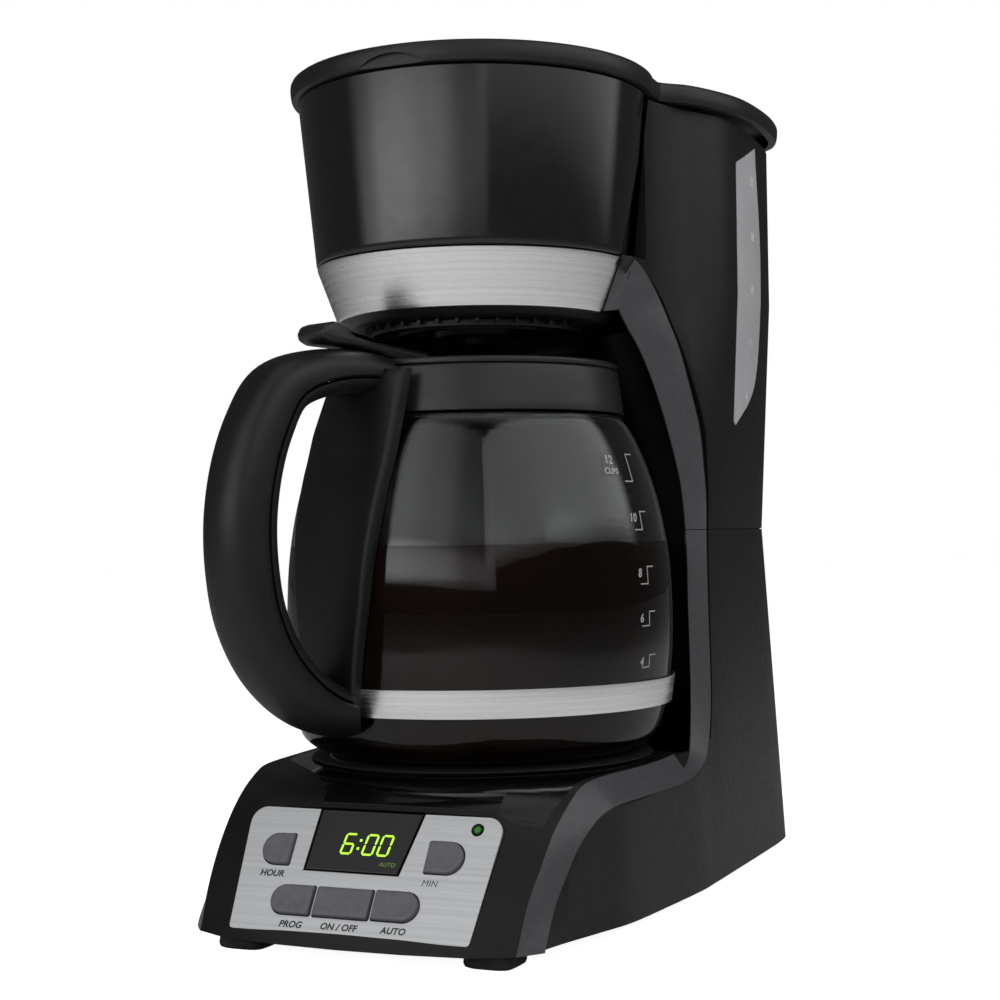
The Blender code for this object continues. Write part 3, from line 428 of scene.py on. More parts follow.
def merged(*parts):
    """Several bmeshes as one, left as separate islands."""
    whole = bmesh.new()
    for bm in parts:
        mesh = as_mesh("working", bm)
        whole.from_mesh(mesh)
        bpy.data.meshes.remove(mesh)
    return whole


def bridge(bm, rings, closed_ends=True):
    """Joins closed rings of as many points each by quads, one ring to the next."""
    loops = [[bm.verts.new(p) for p in ring] for ring in rings]
    count = len(loops[0])
    for low, high in zip(loops, loops[1:]):
        for i in range(count):
            j = (i + 1) % count
            bm.faces.new((low[i], low[j], high[j], high[i]))
    if closed_ends:
        bm.faces.new(list(reversed(loops[0])))
        bm.faces.new(loops[-1])


def loft(rings):
    bm = bmesh.new()
    bridge(bm, rings)
    return bm


def prism(points, low, high):
    """An outline in (X, Y) between two heights."""
    return loft([[(x, y, z) for x, y in points] for z in (low, high)])


def slab(points, left, right):
    """An outline in (Y, Z) between two values of X."""
    return loft([[(x, y, z) for y, z in points] for x in (left, right)])


def rectangle(left, low, right, high):
    return [(left, low), (right, low), (right, high), (left, high)]


def around(count):
    """This many angles, evenly round a circle."""
    return [2 * pi * k / count for k in range(count)]


def arc(x, y, across, tall, start, stop, count):
    """Points along an ellipse from one angle to another, in degrees, in this many steps."""
    angles = [radians(start + (stop - start) * k / count) for k in range(count + 1)]
    return [(x + across * cos(a), y + tall * sin(a)) for a in angles]


def turned(profile, segments=128):
    """A closed profile of (radius, height) points, turned a full circle."""
    bm = bmesh.new()
    rings = [[bm.verts.new((r * cos(a), r * sin(a), z)) for r, z in profile] for a in around(segments)]
    count = len(profile)
    for k in range(segments):
        here, there = rings[k], rings[(k + 1) % segments]
        for i in range(count):
            j = (i + 1) % count
            if profile[i][0] or profile[j][0]:
                bm.faces.new((here[i], there[i], there[j], here[j]))
    bmesh.ops.remove_doubles(bm, verts=bm.verts, dist=1e-6)
    bmesh.ops.dissolve_degenerate(bm, edges=bm.edges, dist=1e-6)
    return bm


def block(low, high, radius=0.0):
    bm = bmesh.new()
    size = Vector(high) - Vector(low)
    middle = (Vector(high) + Vector(low)) / 2
    bmesh.ops.create_cube(bm, size=1, matrix=Matrix.Translation(middle) @ Matrix.Diagonal((*size, 1)))
    if radius:
        bmesh.ops.bevel(bm, geom=bm.edges[:], offset=radius, segments=3, affect="EDGES", profile=0.5)
    return bm


def cylinder(start, end, radius, segments=32):
    start, end = Vector(start), Vector(end)
    bm = bmesh.new()
    turn = (end - start).to_track_quat("Z", "Y").to_matrix().to_4x4()
    bmesh.ops.create_cone(
        bm, cap_ends=True, segments=segments, radius1=radius, radius2=radius,
        depth=(end - start).length, matrix=Matrix.Translation((start + end) / 2) @ turn,
    )
    return bm


def rounded_profile(points, radius=0.8, steps=4):
    """A closed (radius, height) profile with its corners rounded off; corners on the axis stay."""
    rounded = []
    for i, point in enumerate(points):
        p = Vector(point)
        before, after = Vector(points[i - 1]), Vector(points[(i + 1) % len(points)])
        if p.x < 1e-6:
            rounded.append(tuple(p))
            continue
        room = min(radius, (before - p).length * 0.45, (after - p).length * 0.45)
        a, b = p + (before - p).normalized() * room, p + (after - p).normalized() * room
        for k in range(steps + 1):
            t = k / steps
            rounded.append(tuple(a * (1 - t) ** 2 + p * (2 * t * (1 - t)) + b * t**2))
    return rounded


def lathe(points, radius, steps, segments):
    return turned(rounded_profile(points, radius, steps), segments)


def smooth_line(points, steps=3):
    """A Catmull-Rom curve through the points, with steps stretches between each two."""
    points = [Vector(p) for p in points]
    ends = [points[0] * 2 - points[1], *points, points[-1] * 2 - points[-2]]
    line = []
    for before, start, end, after in zip(ends, ends[1:], ends[2:], ends[3:]):
        for k in range(steps):
            t = k / steps
            line.append(
                (start * 2 + (end - before) * t + (before * 2 - start * 5 + end * 4 - after) * t**2
                 + (start * 3 - before - end * 3 + after) * t**3) / 2
            )
    line.append(points[-1])
    return line


def smooth_flat(points, steps):
    """The same curve through points that have two coordinates."""
    return [(p.x, p.y) for p in smooth_line([(a, b, 0) for a, b in points], steps)]


def value_at(points, z):
    """The value at z along a line of (value, z) points; past its ends, the last value."""
    for (v0, z0), (v1, z1) in zip(points, points[1:]):
        if min(z0, z1) <= z <= max(z0, z1):
            return v0 + (v1 - v0) * (z - z0) / (z1 - z0)
    return points[-1][0]


def polar(angle, radius, z):
    """A point at this angle, in degrees, from the front towards the viewer's left."""
    a = radians(angle)
    return Vector((-radius * sin(a), -radius * cos(a), z))


def on_panel(x, s, out=0.0):
    return PANEL_FOOT + Vector((x, 0, 0)) + PANEL_UP * s + PANEL_OUT * out


def panel_prism(outline, low, high):
    return loft([[on_panel(x, s, out) for x, s in outline] for out in (low, high)])


def inset(points, amount):
    """Moves a closed loop of (x, y) points inwards; the loop runs anticlockwise."""
    moved = []
    for i, (x, y) in enumerate(points):
        (ax, ay), (bx, by) = points[i - 1], points[(i + 1) % len(points)]
        length = hypot(bx - ax, by - ay)
        moved.append((x - (by - ay) / length * amount, y + (bx - ax) / length * amount))
    return moved


def mixed(first, second, share):
    return [(a + (c - a) * share, b + (d - b) * share) for (a, b), (c, d) in zip(first, second)]


# ---------------------------------------------------------------- body


def ring_outline(half, steps=6):
    right = smooth_flat(half, steps)
    return right + [(-x, y) for x, y in reversed(right[:-1])]


def lower_outline(z):
    return ring_outline(mixed(FLOOR_OUTLINE, WAIST_OUTLINE, (z - HOUSING_BOTTOM) / (SEAM_Z - HOUSING_BOTTOM)))


def upper_outline(z):
    share = min((z - SEAM_Z) / (SHOULDER_FULL_Z - SEAM_Z), 1.0)
    return ring_outline(mixed(SHOULDER_WAIST, SHOULDER_TOP, share))


def lower_block(amount, low, high):
    levels = (low, 30, 52, 75, 98, high)
    return loft([[(x, y, z) for x, y in inset(lower_outline(z), amount)] for z in levels])


def upper_block(amount, low, high):
    levels = (low, 164, 180, 197, 214, 231, SHOULDER_FULL_Z, 280, high)
    return loft([[(x, y, z) for x, y in inset(upper_outline(z), amount)] for z in levels])


def edge_rows(steps=6):
    """The stations of the front edge, smoothed, as rows of middle, inner edge and outer edge points."""
    middles = smooth_line([(0, *middle) for middle, _, _ in EDGE_STATIONS], steps)
    inners = smooth_line([inner for _, inner, _ in EDGE_STATIONS], steps)
    outers = smooth_line([outer for _, _, outer in EDGE_STATIONS], steps)
    return list(zip(middles, inners, outers))


def front_point(middle, x, bulge):
    share = min(1.0, max(0.0, (DECK_Z - middle.z) / BULGE_FADE)) if middle.y < 0 else 0.0
    return Vector((x, middle.y - bulge * share, middle.z))


def front_void(grow=0.0, steps=6):
    """The space before the C-shaped edge, with its slanted rims; grow pushes it that far into the body."""
    rows = edge_rows(steps)
    loops = []
    for i, (middle, inner, outer) in enumerate(rows):
        ahead = rows[min(i + 1, len(rows) - 1)][0] - rows[max(i - 1, 0)][0]
        push = Vector((0, ahead.z, -ahead.y)).normalized() * grow
        past = outer + (outer - inner) * (RIM_OVERRUN / (outer.x - inner.x))
        half = [front_point(middle, x, bulge) for x, bulge in FRONT_BULGE]
        half += [inner, past, Vector((FAR_OUT, past.y, past.z))]
        other = [Vector((-p.x, p.y, p.z)) for p in reversed(half[1:])]
        loops.append([p + push for p in other + half])
    rings = []
    for column in zip(*loops):
        x, low, high = column[0].x, column[0].z, column[-1].z
        rings.append([*column, Vector((x, FAR_FRONT, high)), Vector((x, FAR_FRONT, low))])
    return loft(rings)


def bay_profile(grow):
    """The hollow's outline about the carafe's axis, grown outwards, from the deck up to above the cover."""
    low = [(r + grow, z) for r, z in BAY]
    top, high = DECK_Z + 0.5, 345
    narrow, wide = SHELL_BOTTOM_R + 0.5 + grow - LINER - GAP, SHELL_TOP_R + 0.6 + grow - LINER - GAP
    return [(0, top), (low[0][0], top), *low[1:], (narrow, BAY[-1][1] + 0.6), (narrow, BAND_TOP_Z + 0.5),
            (wide, 320), (wide, high), (0, high)]


def window_outline(shrink):
    """The water window in (Y, Z), as a bottom corner, the long curved right side and the slanted top."""
    curve = smooth_flat([(80, 190.5), (101, 204), (109.5, 220), (111.5, 250), (111.5, 275), (105, 314)], 5)
    return inset([(77, 192), *curve, (78, 303)], shrink)


def crossings(outline, z):
    """The smallest and the largest first coordinate at which a closed outline crosses the level z."""
    found = []
    for (y0, z0), (y1, z1) in zip(outline, outline[1:] + outline[:1]):
        if min(z0, z1) <= z <= max(z0, z1) and z0 != z1:
            found.append(y0 + (y1 - y0) * (z - z0) / (z1 - z0))
    return min(found), max(found)


def wall_x(y, z):
    """How far out the right wall of the body stands at this Y and Z."""
    outline = upper_outline(z) if z > SEAM_Z else lower_outline(z)
    for (x0, y0), (x1, y1) in zip(outline, outline[1:]):
        if x0 > 50 and y0 <= y <= y1:
            return x0 + (x1 - x0) * (y - y0) / (y1 - y0)
    return max(x for x, _ in outline)


def make_lower_shell():
    hollow = cut(lower_block(WALL, HOUSING_BOTTOM - 5, SEAM_Z + 5), front_void(WALL, 2),
                 turned(bay_profile(LINER + GAP + WALL), 46))
    well = turned(rectangle(0, 40, 66.3, 80), 96)
    pocket = panel_prism(panel_outline(GAP), -PANEL_THICK - GAP, 20)
    opening = panel_prism(rectangle(-44, 5, 44, 44), -20, 20)
    lens_window = panel_prism(rectangle(DISPLAY_MIDDLE - 20.8, 40, DISPLAY_MIDDLE + 20.8, 47.2), -20, 20)
    inlet = cylinder((-48, 160, 24), (-48, 185, 24), 7.3)
    shell = cut(lower_block(0, HOUSING_BOTTOM, SEAM_Z - GAP / 2), front_void(),
                turned(bay_profile(LINER + GAP), 150), hollow, well, pocket, opening, lens_window, inlet)
    add("lower_shell", shell, "body", replaces="lower_housing", smooth=22)


def make_upper_shell():
    brow = block((-150, -150, BAND_TOP_Z + 0.6), (150, 15, 345))
    brow_deep = block((-150, -150, BAND_TOP_Z - 2), (150, 15 + WALL, 345))
    hollow = cut(upper_block(WALL, SEAM_Z - 5, HOUSING_TOP + 8), front_void(WALL, 2),
                 turned(bay_profile(LINER + GAP + WALL), 46), brow_deep)
    slope = slab([(60, 319.6), (190, 313.5), (190, 330), (60, 330)], -100, 100)
    shell = cut(upper_block(0, SEAM_Z + GAP / 2, HOUSING_TOP), front_void(),
                turned(bay_profile(LINER + GAP), 150), brow, hollow, slab(window_outline(0), 60, 110), slope)
    parts = [shell]
    for x in (-HINGE_X, HINGE_X):
        post = block((x - 2.4, HINGE_Y - 7, 312.6), (x + 2.4, HINGE_Y + 0.5, 326.4), 0.6)
        parts.append(cut(post, cylinder((x - 6, HINGE_Y, HINGE_Z), (x + 6, HINGE_Y, HINGE_Z), PIN_R, 24)))
    add("upper_shell", merged(*parts), "body", replaces="upper_housing", smooth=22)


def make_seam_lip():
    """The tongue of the lower half that closes the seam from inside."""
    def body(amount, levels):
        return loft([[(x, y, z) for x, y in inset(lower_outline(min(z, SEAM_Z)), amount)] for z in levels])
    ring = cut(body(0.9, (SEAM_Z - 5, SEAM_Z, SEAM_Z + 4)), body(2.0, (SEAM_Z - 6, SEAM_Z, SEAM_Z + 5)),
               front_void(0.6), turned(bay_profile(LINER + GAP + 0.4), 96))
    add("seam_lip", ring, "body")


def make_shaded_gloss():
    """A polished sheet over the deck, round the plate and down to the display, darker than the body: the
    darker colour is painted shade and reflection of the carafe and its handle.
    """
    region = [(-22.5, -91), (19, -91), (50, -90.4), (61.5, -87.5), (64.2, -74), (65.6, -60), (68.2, -47),
              (71.2, -26), (73, 0), (-72, 0), (-71, -25), (-66, -41), (-54, -54), (-38, -71), (-23, -87)]
    sheet = cut(combined("INTERSECT", prism(region, 30, 62), front_void(0.04)), front_void(-0.12),
                turned(rectangle(0, 0, 69, 80), 120))
    add("deck_shaded_gloss", sheet, "shaded_gloss", smooth=22)


# The facet between the rear end of the steel band and the top of the bevelled edge.
CHEEK = ((63.6, -1.9, 253.4), (56.6, -4.3, 232.9), (61.2, -0.2, 233.5), (66.6, 3.2, 253.4))


def make_trim():
    """The satin bevel along the C-shaped edge: a slim cap with turned-down rims, split at the seam."""
    rows = edge_rows(8)[:-8]
    beside = [(-60, 231), (-0.6, 231), (-0.2, 233.5), (3.2, 253.4), (4, 260), (-60, 260)]
    beyond = [(0, 231), (60.6, 231), (61.2, 233.5), (66.6, 253.4), (69, 260), (0, 260)]
    for side, sign in SIDES:
        rings = []
        for i, (_, inner, outer) in enumerate(rows):
            low, high = rows[max(i - 1, 0)], rows[min(i + 1, len(rows) - 1)]
            along = (high[1] + high[2] - low[1] - low[2]).normalized()
            clear = hypot(inner.x, inner.y)
            start = inner.copy()
            if inner.z > DECK_Z + 1 and clear < BAY[0][0] + 0.3 and inner.y > 0 and inner.z < 150:
                start += (outer - inner) * min(0.8, (BAY[0][0] + 0.3 - clear) / (outer - inner).length)
            across = outer - start
            normal = across.cross(along).normalized()
            ring = [start - normal * 0.7 + across * 0.01]
            for k in range(9):
                s = k / 8
                crown = 0.34 - 0.22 * (2 * s - 1) ** 4
                ring.append(start + across * (0.008 + 0.984 * s) + normal * crown)
            ring.append(outer - normal * 0.7 - across * 0.01)
            rings.append([(p.x * sign, p.y, p.z) for p in ring])
        strip = cut(loft(rings), block((-120, -40, SEAM_Z - GAP / 2), (120, 120, SEAM_Z + GAP / 2)),
                    block((-120, -160, -10), (120, 20, HOUSING_BOTTOM + 0.1)),
                    slab(beside, -90, 90),
                    loft([[(x * sign, y, z) for x, z in beyond] for y in (-60, 15)]))
        add(f"edge_trim_{side}", strip, "trim", smooth=30)
        corners = [Vector((x * sign, y, z)) for x, y, z in CHEEK]
        inward = (corners[1] - corners[0]).cross(corners[2] - corners[0]).normalized() * 0.6
        inward *= -1 if inward.y < 0 else 1
        add(f"cheek_{side}", loft([corners, [p + inward for p in corners]]), "trim")


def make_painted_shadow():
    """A near-black strip laid on the wall along the outer edge of the bevel, above the deck: a painted shadow
    line.
    """
    rows = [row for row in edge_rows(8)[:-16] if row[2].z > 62 and row[2].y > 5]
    for side, sign in SIDES:
        rings = []
        for (_, _, outer), (_, _, after) in zip(rows, rows[1:]):
            along = (after - outer).normalized()
            away = Vector((0, along.z, -along.y))
            points = [outer + away * reach for reach in (0.15, 0.6, 1.1, 1.6)]
            # The strip lies on the wall's surface with no recess behind it; its dark colour is painted
            # shadow.
            out = [(wall_x(q.y, q.z) + lift, q.y, q.z) for q, lift in zip(points, (0.03, 0.07, 0.07, 0.03))]
            deep = [(wall_x(q.y, q.z) - 0.3, q.y, q.z) for q in reversed(points)]
            rings.append([(x * sign, y, z) for x, y, z in out + deep])
        add(f"edge_painted_shadow_{side}", loft(rings), "painted_shadow", smooth=40)


def make_liner():
    """The polished wall of the bay, behind and beside the carafe."""
    inside = [BAY[0], *smooth_flat(BAY[1:], 6)]
    outside = [(r + LINER, z) for r, z in inside]
    under = block((-120, -120, 0), (120, 120, DECK_Z + GAP + 0.5))
    liner = cut(turned([*inside, *reversed(outside)], 180), under, front_void(0.4))
    add("bay_wall", liner, "liner", replaces="bay_liner", smooth=22)


def make_window():
    """The pane, lofted from level rows so that it follows the curved wall."""
    outline = window_outline(2 * GAP)
    bottom, top = min(z for _, z in outline) + 0.15, max(z for _, z in outline) - 0.15
    rings = []
    for k in range(61):
        z = bottom + (top - bottom) * k / 60
        left, right = crossings(outline, z)
        row = [left + (right - left) * i / 12 for i in range(13)]
        rings.append([(wall_x(y, z) - 0.05, y, z) for y in row] +
                     [(wall_x(y, z) - WALL + 0.4, y, z) for y in reversed(row)])
    add("window_pane", loft(rings), "window", replaces="water_window", smooth=30)


# ---------------------------------------------------------------- head


def wrapped_skin(top, bottom, thick, rear, rows=24, columns=120, fillet=0.6):
    """A skin round the front of a cone from (radius, z) top to bottom, ending at the rear line of (Y, Z)."""
    def ring(share):
        z = top[1] + (bottom[1] - top[1]) * share
        radius = top[0] + (bottom[0] - top[0]) * share
        reach = acos(max(-1.0, min(1.0, -value_at(rear, z) / radius)))
        outer, inner = [], []
        for k in range(columns + 1):
            angle = -reach + 2 * reach * k / columns
            near_end = min(k, columns - k) / columns * 2 * reach * radius
            drop = fillet * max(0.0, 1 - near_end / fillet) ** 2
            edge = min(share, 1 - share) * abs(top[1] - bottom[1])
            drop += fillet * max(0.0, 1 - edge / fillet) ** 2
            outer.append((sin(angle) * (radius - drop), -cos(angle) * (radius - drop), z))
            inner.append((sin(angle) * (radius - thick), -cos(angle) * (radius - thick), z))
        return outer + list(reversed(inner))
    shares = sorted({0.0, 0.004, 0.009, 0.991, 0.996, 1.0, *(k / rows for k in range(rows + 1))})
    return loft([ring(s) for s in shares])


def make_head():
    """The glossy shell and the steel band round the holder of the brew basket."""
    shell_rear = [(11.5, 322), (13, 295), (6, 276), (1, 262), (-1.5, 252)]
    shell = wrapped_skin((SHELL_TOP_R, 320.2), (SHELL_BOTTOM_R + 0.05, BAND_TOP_Z + 0.6), 2.2, shell_rear)
    add("gloss_shell", shell, "shell", replaces="front_shell", smooth=30)
    band_rear = [(-2.2, 262), (-4.6, 220)]
    band = wrapped_skin((SHELL_BOTTOM_R, BAND_TOP_Z), (BAND_BOTTOM_R, BAND_BOTTOM_Z), 1.4, band_rear,
                        fillet=0.4)
    add("brushed_band", band, "band", replaces="steel_band", smooth=30)

    outer = [(SHELL_TOP_R - 2.6, 319), (SHELL_BOTTOM_R - 2.6, 254.6), (SHELL_BOTTOM_R - 2.0, 253.6),
             (BAND_BOTTOM_R - 1.8, BAND_BOTTOM_Z + 0.2)]
    inner = [(SHELL_TOP_R - 4.8, 319), (SHELL_BOTTOM_R - 4.8, 254), (BAND_BOTTOM_R - 4.2, 233.4), (14, 231.4)]
    outline = [*outer, (BAND_BOTTOM_R - 5.5, 229.6), (14, 228.5), *reversed(inner)]
    parts = [lathe(outline, 0.8, 4, 128)]
    for angle in [*range(5, 100, 10), *range(275, 360, 10)]:
        start, end = polar(angle, 20, 0), polar(angle, 45, 0)
        across = (end - start).normalized().cross(UP) * 0.7
        rib = [start - across, end - across, end + across, start + across]
        parts.append(prism([(p.x, p.y) for p in rib], 227.6, 229.2))
    parts += [lathe(rectangle(radius, 226.4, radius + 1.4, 229), 0.4, 4, 96) for radius in (30, 41)]
    add("basket_holder", merged(*parts), "basket", replaces="basket_housing")
    nozzle = lathe([(14.3, 225.6), (16.4, 225.6), (17.2, 228.3), (14.3, 228.3)], 0.4, 4, 64)
    add("nozzle_collar", nozzle, "basket", replaces="nozzle_ring")


def make_basket():
    """The ribbed filter basket with its handle bar, and the valve in its floor."""
    wall = [(64.4, 319.9), (64.4, 321.0), (58.4, 321.0), (51.8, 257), (44.6, 239.6), (6.2, BASKET_FLOOR),
            (6.2, 232), (9.4, 232), (9.4, 235), (46.4, 236.8), (54, 256), (60.6, 319.9)]
    parts = [lathe(wall, 0.7, 3, 96)]
    for angle in range(0, 360, 15):
        foot = polar(angle, 45.6, 241.5)
        across = foot.cross(UP).normalized() * 0.6
        inward = -Vector((foot.x, foot.y, 0)).normalized() * 1.6
        parts.append(loft([[p - across, p + across, p + across + inward, p - across + inward]
                           for p in (foot, polar(angle, 51.7, 257.5), polar(angle, 57.0, 312))]))
    foot = BASKET_FLOOR - 1
    for left, right, low in ((-12.5, -10, foot), (10, 12.5, foot), (-12.5, 12.5, 254.8)):
        parts.append(block((left, -2.5, low), (right, 2.5, 257), 0.4))
    add("filter_basket", merged(*parts), "basket", "brew_basket", "brew_basket")
    disc = BASKET_FLOOR + 4.3
    stem = [(0, 223.2), (4.6, 223.2), (4.6, 229), (3.0, 229.6), (3.0, disc), (8.4, disc), (8.4, disc + 2),
            (0, disc + 2)]
    add("valve_plunger", lathe(stem, 0.5, 4, 48), "dark_silicone", "drip_stop", "drip_stop_valve")
    turns, steps, spring_r, pitch, wire_r = 4, 28, 6.9, 2.4, 0.45
    rings = []
    for k in range(turns * steps + 1):
        a = 2 * pi * k / steps
        out = Vector((cos(a), sin(a), 0))
        middle = out * spring_r + UP * (disc + 2.8 + k / steps * pitch)
        rings.append([middle + (out * cos(b) + UP * sin(b)) * wire_r for b in around(10)])
    add("valve_spring", loft(rings), "plated", "drip_stop", "drip_stop_spring")


def cover_outline(grow=0.0):
    """A round front over the basket, pinched, then a wider rear over the tank."""
    points = [(COVER_R * sin(radians(a)), -COVER_R * cos(radians(a))) for a in range(0, 106, 3)]
    rear = [(70.6, 29), (73.6, 32.6), (79.6, 39), (85.6, 51), (90.7, 65.8), (93.2, 81), (93.8, 100),
            (92.8, 118), (89.8, 134), (83, 147), (72, 155), (58, 158.6), (30, 159.4), (0, 159.6)]
    points += smooth_flat(rear, 5)
    whole = points + [(-x, y) for x, y in reversed(points[1:-1])]
    return inset(whole, -grow)


def make_cover():
    """A shallow dish with a rounded rim, a finger lift at the front and two lugs on the hinge pins."""
    low, top = COVER_BOTTOM, COVER_TOP
    levels = ((-1.4, low), (-0.9, low + 0.2), (-0.55, low + 1.0), (-0.2, low + 3.0), (-0.1, top - 3.2),
              (-0.25, top - 2.2), (-0.75, top - 1.2), (-1.7, top - 0.5), (-3.2, top - 0.12), (-5.0, top))
    rings = [[(x, y, z) for x, y in cover_outline(grow)] for grow, z in levels]
    dish = cut(loft(rings), prism(cover_outline(-4.2), low - 5, top - 2.6))
    cutters = [cylinder((0, -150, low - 21.5), (0, -71.6, low - 21.5), 26.0, 96)]
    lugs = []
    for x in (-1, 1):
        left, right = sorted((x * (HINGE_X - 3), x * (HINGE_X + 3)))
        cutters.append(block((left, HINGE_Y - 10, 315), (right, HINGE_Y + 12, 334)))
        left, right = sorted((x * 50.3, x * 59))
        lug = block((left, HINGE_Y - 3.6, HINGE_Z - 3.4), (right, HINGE_Y + 3.6, HINGE_Z + 5), 0.8)
        lugs.append(cut(lug, cylinder((x * 43, HINGE_Y, HINGE_Z), (x * 60, HINGE_Y, HINGE_Z), PIN_R)))
    add("top_cover", merged(cut(dish, *cutters), *lugs), "cover", "cover", "cover")


# ---------------------------------------------------------------- control panel


def panel_outline(grow=0.0):
    right = [(PANEL_HALF_BOTTOM - 1.5, 0), (PANEL_HALF_BOTTOM - 0.4, 0.4), (PANEL_HALF_BOTTOM, 1.5),
             (PANEL_HALF_TOP - 0.6, PANEL_HEIGHT - 7),
             *arc(PANEL_HALF_TOP - 6.6, PANEL_HEIGHT - 6, 6, 6, 9, 90, 9)]
    return inset(right + [(-x, s) for x, s in reversed(right)], -grow)


def button_outline(left, right, low, high, rounded, grow=0.0):
    """A rectangle with one end a half oval: rounded is -1 for the left end, 1 for the right, 0 for none."""
    left, right, low, high = left - grow, right + grow, low - grow, high + grow
    middle, tall = (low + high) / 2, (high - low) / 2
    deep, soft = min(tall, 6.5), 0.7
    if rounded > 0:
        points = arc(right - deep, middle, deep, tall, -90, 90, 30)
    else:
        points = arc(right - soft, low + soft, soft, soft, -90, 0, 4)
        points += arc(right - soft, high - soft, soft, soft, 0, 90, 4)
    if rounded < 0:
        points += arc(left + deep, middle, deep, tall, 90, 270, 30)
    else:
        points += arc(left + soft, high - soft, soft, soft, 90, 180, 4)
        points += arc(left + soft, low + soft, soft, soft, 180, 270, 4)
    return points


def panel_height(v):
    """How far a vertex stands out of the panel's plane."""
    return (v.co - PANEL_FOOT).dot(PANEL_OUT)


def panel_ring(radius, out, count):
    """A circle about the indicator light."""
    x, s = LED_AT
    return [on_panel(x + radius * cos(a), s + radius * sin(a), out) for a in around(count)]


def make_panel():
    """The brushed plate with its keys, the display and the indicator light."""
    m = DISPLAY_MIDDLE
    notch = [(m - 22, 23.2), (m + 16.1, 23.2), (m + 22, 52), (m - 21, 52)]
    holes = [panel_prism(button_outline(*shape, grow=0.35), -5, 5) for shape in BUTTONS.values()]
    led_hole = cylinder(on_panel(*LED_AT, -6), on_panel(*LED_AT, 6), 2.3, 40)
    plate = cut(panel_prism(panel_outline(), -PANEL_THICK, 0), panel_prism(notch, -6, 6), led_hole, *holes)
    rims = [e for e in plate.edges if e.is_manifold and e.calc_face_angle() > radians(60)
            and all(panel_height(v) > -0.01 for v in e.verts)]
    bmesh.ops.bevel(plate, geom=rims, offset=0.22, segments=2, affect="EDGES", profile=0.5)
    add("brushed_panel", plate, "panel", replaces="control_panel", smooth=12)

    top = BUTTON_PROUD
    steps = ((-5.6, 0), (top - 0.75, 0), (top - 0.35, 0.1), (top - 0.1, 0.32), (top, 0.7), (top - 0.02, 1.6),
             (top - 0.12, 2.8))
    for name, shape in BUTTONS.items():
        left, right, low, high, _ = shape
        cx, cs = (left + right) / 2, (low + high) / 2
        rings = []
        for out, shrink in steps:
            wide, tall = 1 - shrink / ((right - left) / 2), 1 - shrink / ((high - low) / 2)
            rings.append([on_panel(cx + (x - cx) * wide, cs + (s - cs) * tall, out)
                          for x, s in button_outline(*shape)])
        add(f"{name}_key", loft(rings), "button", f"{name}_button", f"{name}_button")

    lens = [(m - 21.2, 23.6), (m + 15.6, 23.6), (m + 20.3, 46.6), (m - 20.3, 46.6)]
    cap = panel_prism(lens, -2.4, 0.3)
    rims = [e for e in cap.edges if all(panel_height(v) > 0.2 for v in e.verts)]
    bmesh.ops.bevel(cap, geom=rims, offset=0.35, segments=3, affect="EDGES", profile=0.5)
    add("display_window", cap, "lens", replaces="display_lens", smooth=12)
    led = [panel_ring(r, out, 32) for r, out in ((1.4, -6.5), (1.4, -0.1), (1.15, 0.25), (0.6, 0.5))]
    add("indicator_lens", loft(led), "led", replaces="indicator_light")
    bezel = [panel_ring(r, out, 40)
             for r, out in ((1.5, -5), (1.95, -5), (1.95, 0.1), (1.75, 0.25), (1.5, 0.1))]
    ring = bmesh.new()
    bridge(ring, [*bezel, bezel[0]], closed_ends=False)
    add("indicator_bezel", ring, "lens")
    make_digits()
    make_legends()


# Lit segments of the digits shown, and the heights that the digits stand between.
SEGMENTS = {"0": "abcdef", "6": "acdefg"}
DIGIT_HEIGHTS = 0.31, 0.42


def make_digits():
    """Seven-segment digits, slanted, just above the display window."""
    high, wide, thick, lean = 7.4, 4.0, 0.72, 0.16
    left, foot = -10.2, 30.2
    ends = {"a": ((0, 1), (1, 1)), "b": ((1, 1), (1, 0.5)), "c": ((1, 0.5), (1, 0)), "d": ((0, 0), (1, 0)),
            "e": ((0, 0.5), (0, 0)), "f": ((0, 1), (0, 0.5)), "g": ((0, 0.5), (1, 0.5))}
    parts = []

    def bar(x0, y0, x1, y1):
        start, end = Vector((x0, y0)), Vector((x1, y1))
        along = (end - start).normalized()
        across = Vector((-along.y, along.x)) * thick / 2
        tip = along * thick / 2
        start, end = start + along * 0.12, end - along * 0.12
        points = [start, start + tip - across, end - tip - across, end, end - tip + across,
                  start + tip + across]
        return panel_prism([(p.x + (p.y - foot) * lean, p.y) for p in points], *DIGIT_HEIGHTS)

    for offset, digit in ((0, "6"), (8.6, "0"), (14.6, "0")):
        for name in SEGMENTS[digit]:
            (ax, ay), (bx, by) = ends[name]
            x = left + offset
            parts.append(bar(x + ax * wide, foot + ay * high, x + bx * wide, foot + by * high))
    for s in (foot + 2.1, foot + 5.2):
        x = left + 6.3 + (s - foot) * lean
        parts.append(panel_prism(rectangle(x - 0.45, s - 0.45, x + 0.45, s + 0.45), *DIGIT_HEIGHTS))
    add("display_digits", merged(*parts), "digits")


def lettering(name, text, size, material, place, body="housing", bold=0.0):
    """Raised lettering as a mesh; place turns a text point (x, y, height) into a point of the object."""
    curve = bpy.data.curves.new(name, "FONT")
    curve.body = text
    curve.align_x = "CENTER"
    curve.size = size
    curve.extrude = 0.03
    curve.offset = bold
    curve.shear = 0.18
    curve.space_character = 1.04
    helper = placed(name + "_curve", curve)
    bm = bmesh.new()
    bm.from_mesh(helper.to_mesh())
    bpy.data.objects.remove(helper)
    bpy.data.curves.remove(curve)
    for v in bm.verts:
        v.co = place(*v.co)
    return add(name, bm, material, body)


# Name, text, and the place on the panel.
LEGENDS = (("hour", "HOUR", -35.6, 21.3), ("min", "MIN", 27.2, 21.3), ("prog", "PROG", -22.7, 3.0),
           ("on_off", "ON / OFF", -3.6, 3.2), ("auto", "AUTO", 17.6, 3.4))


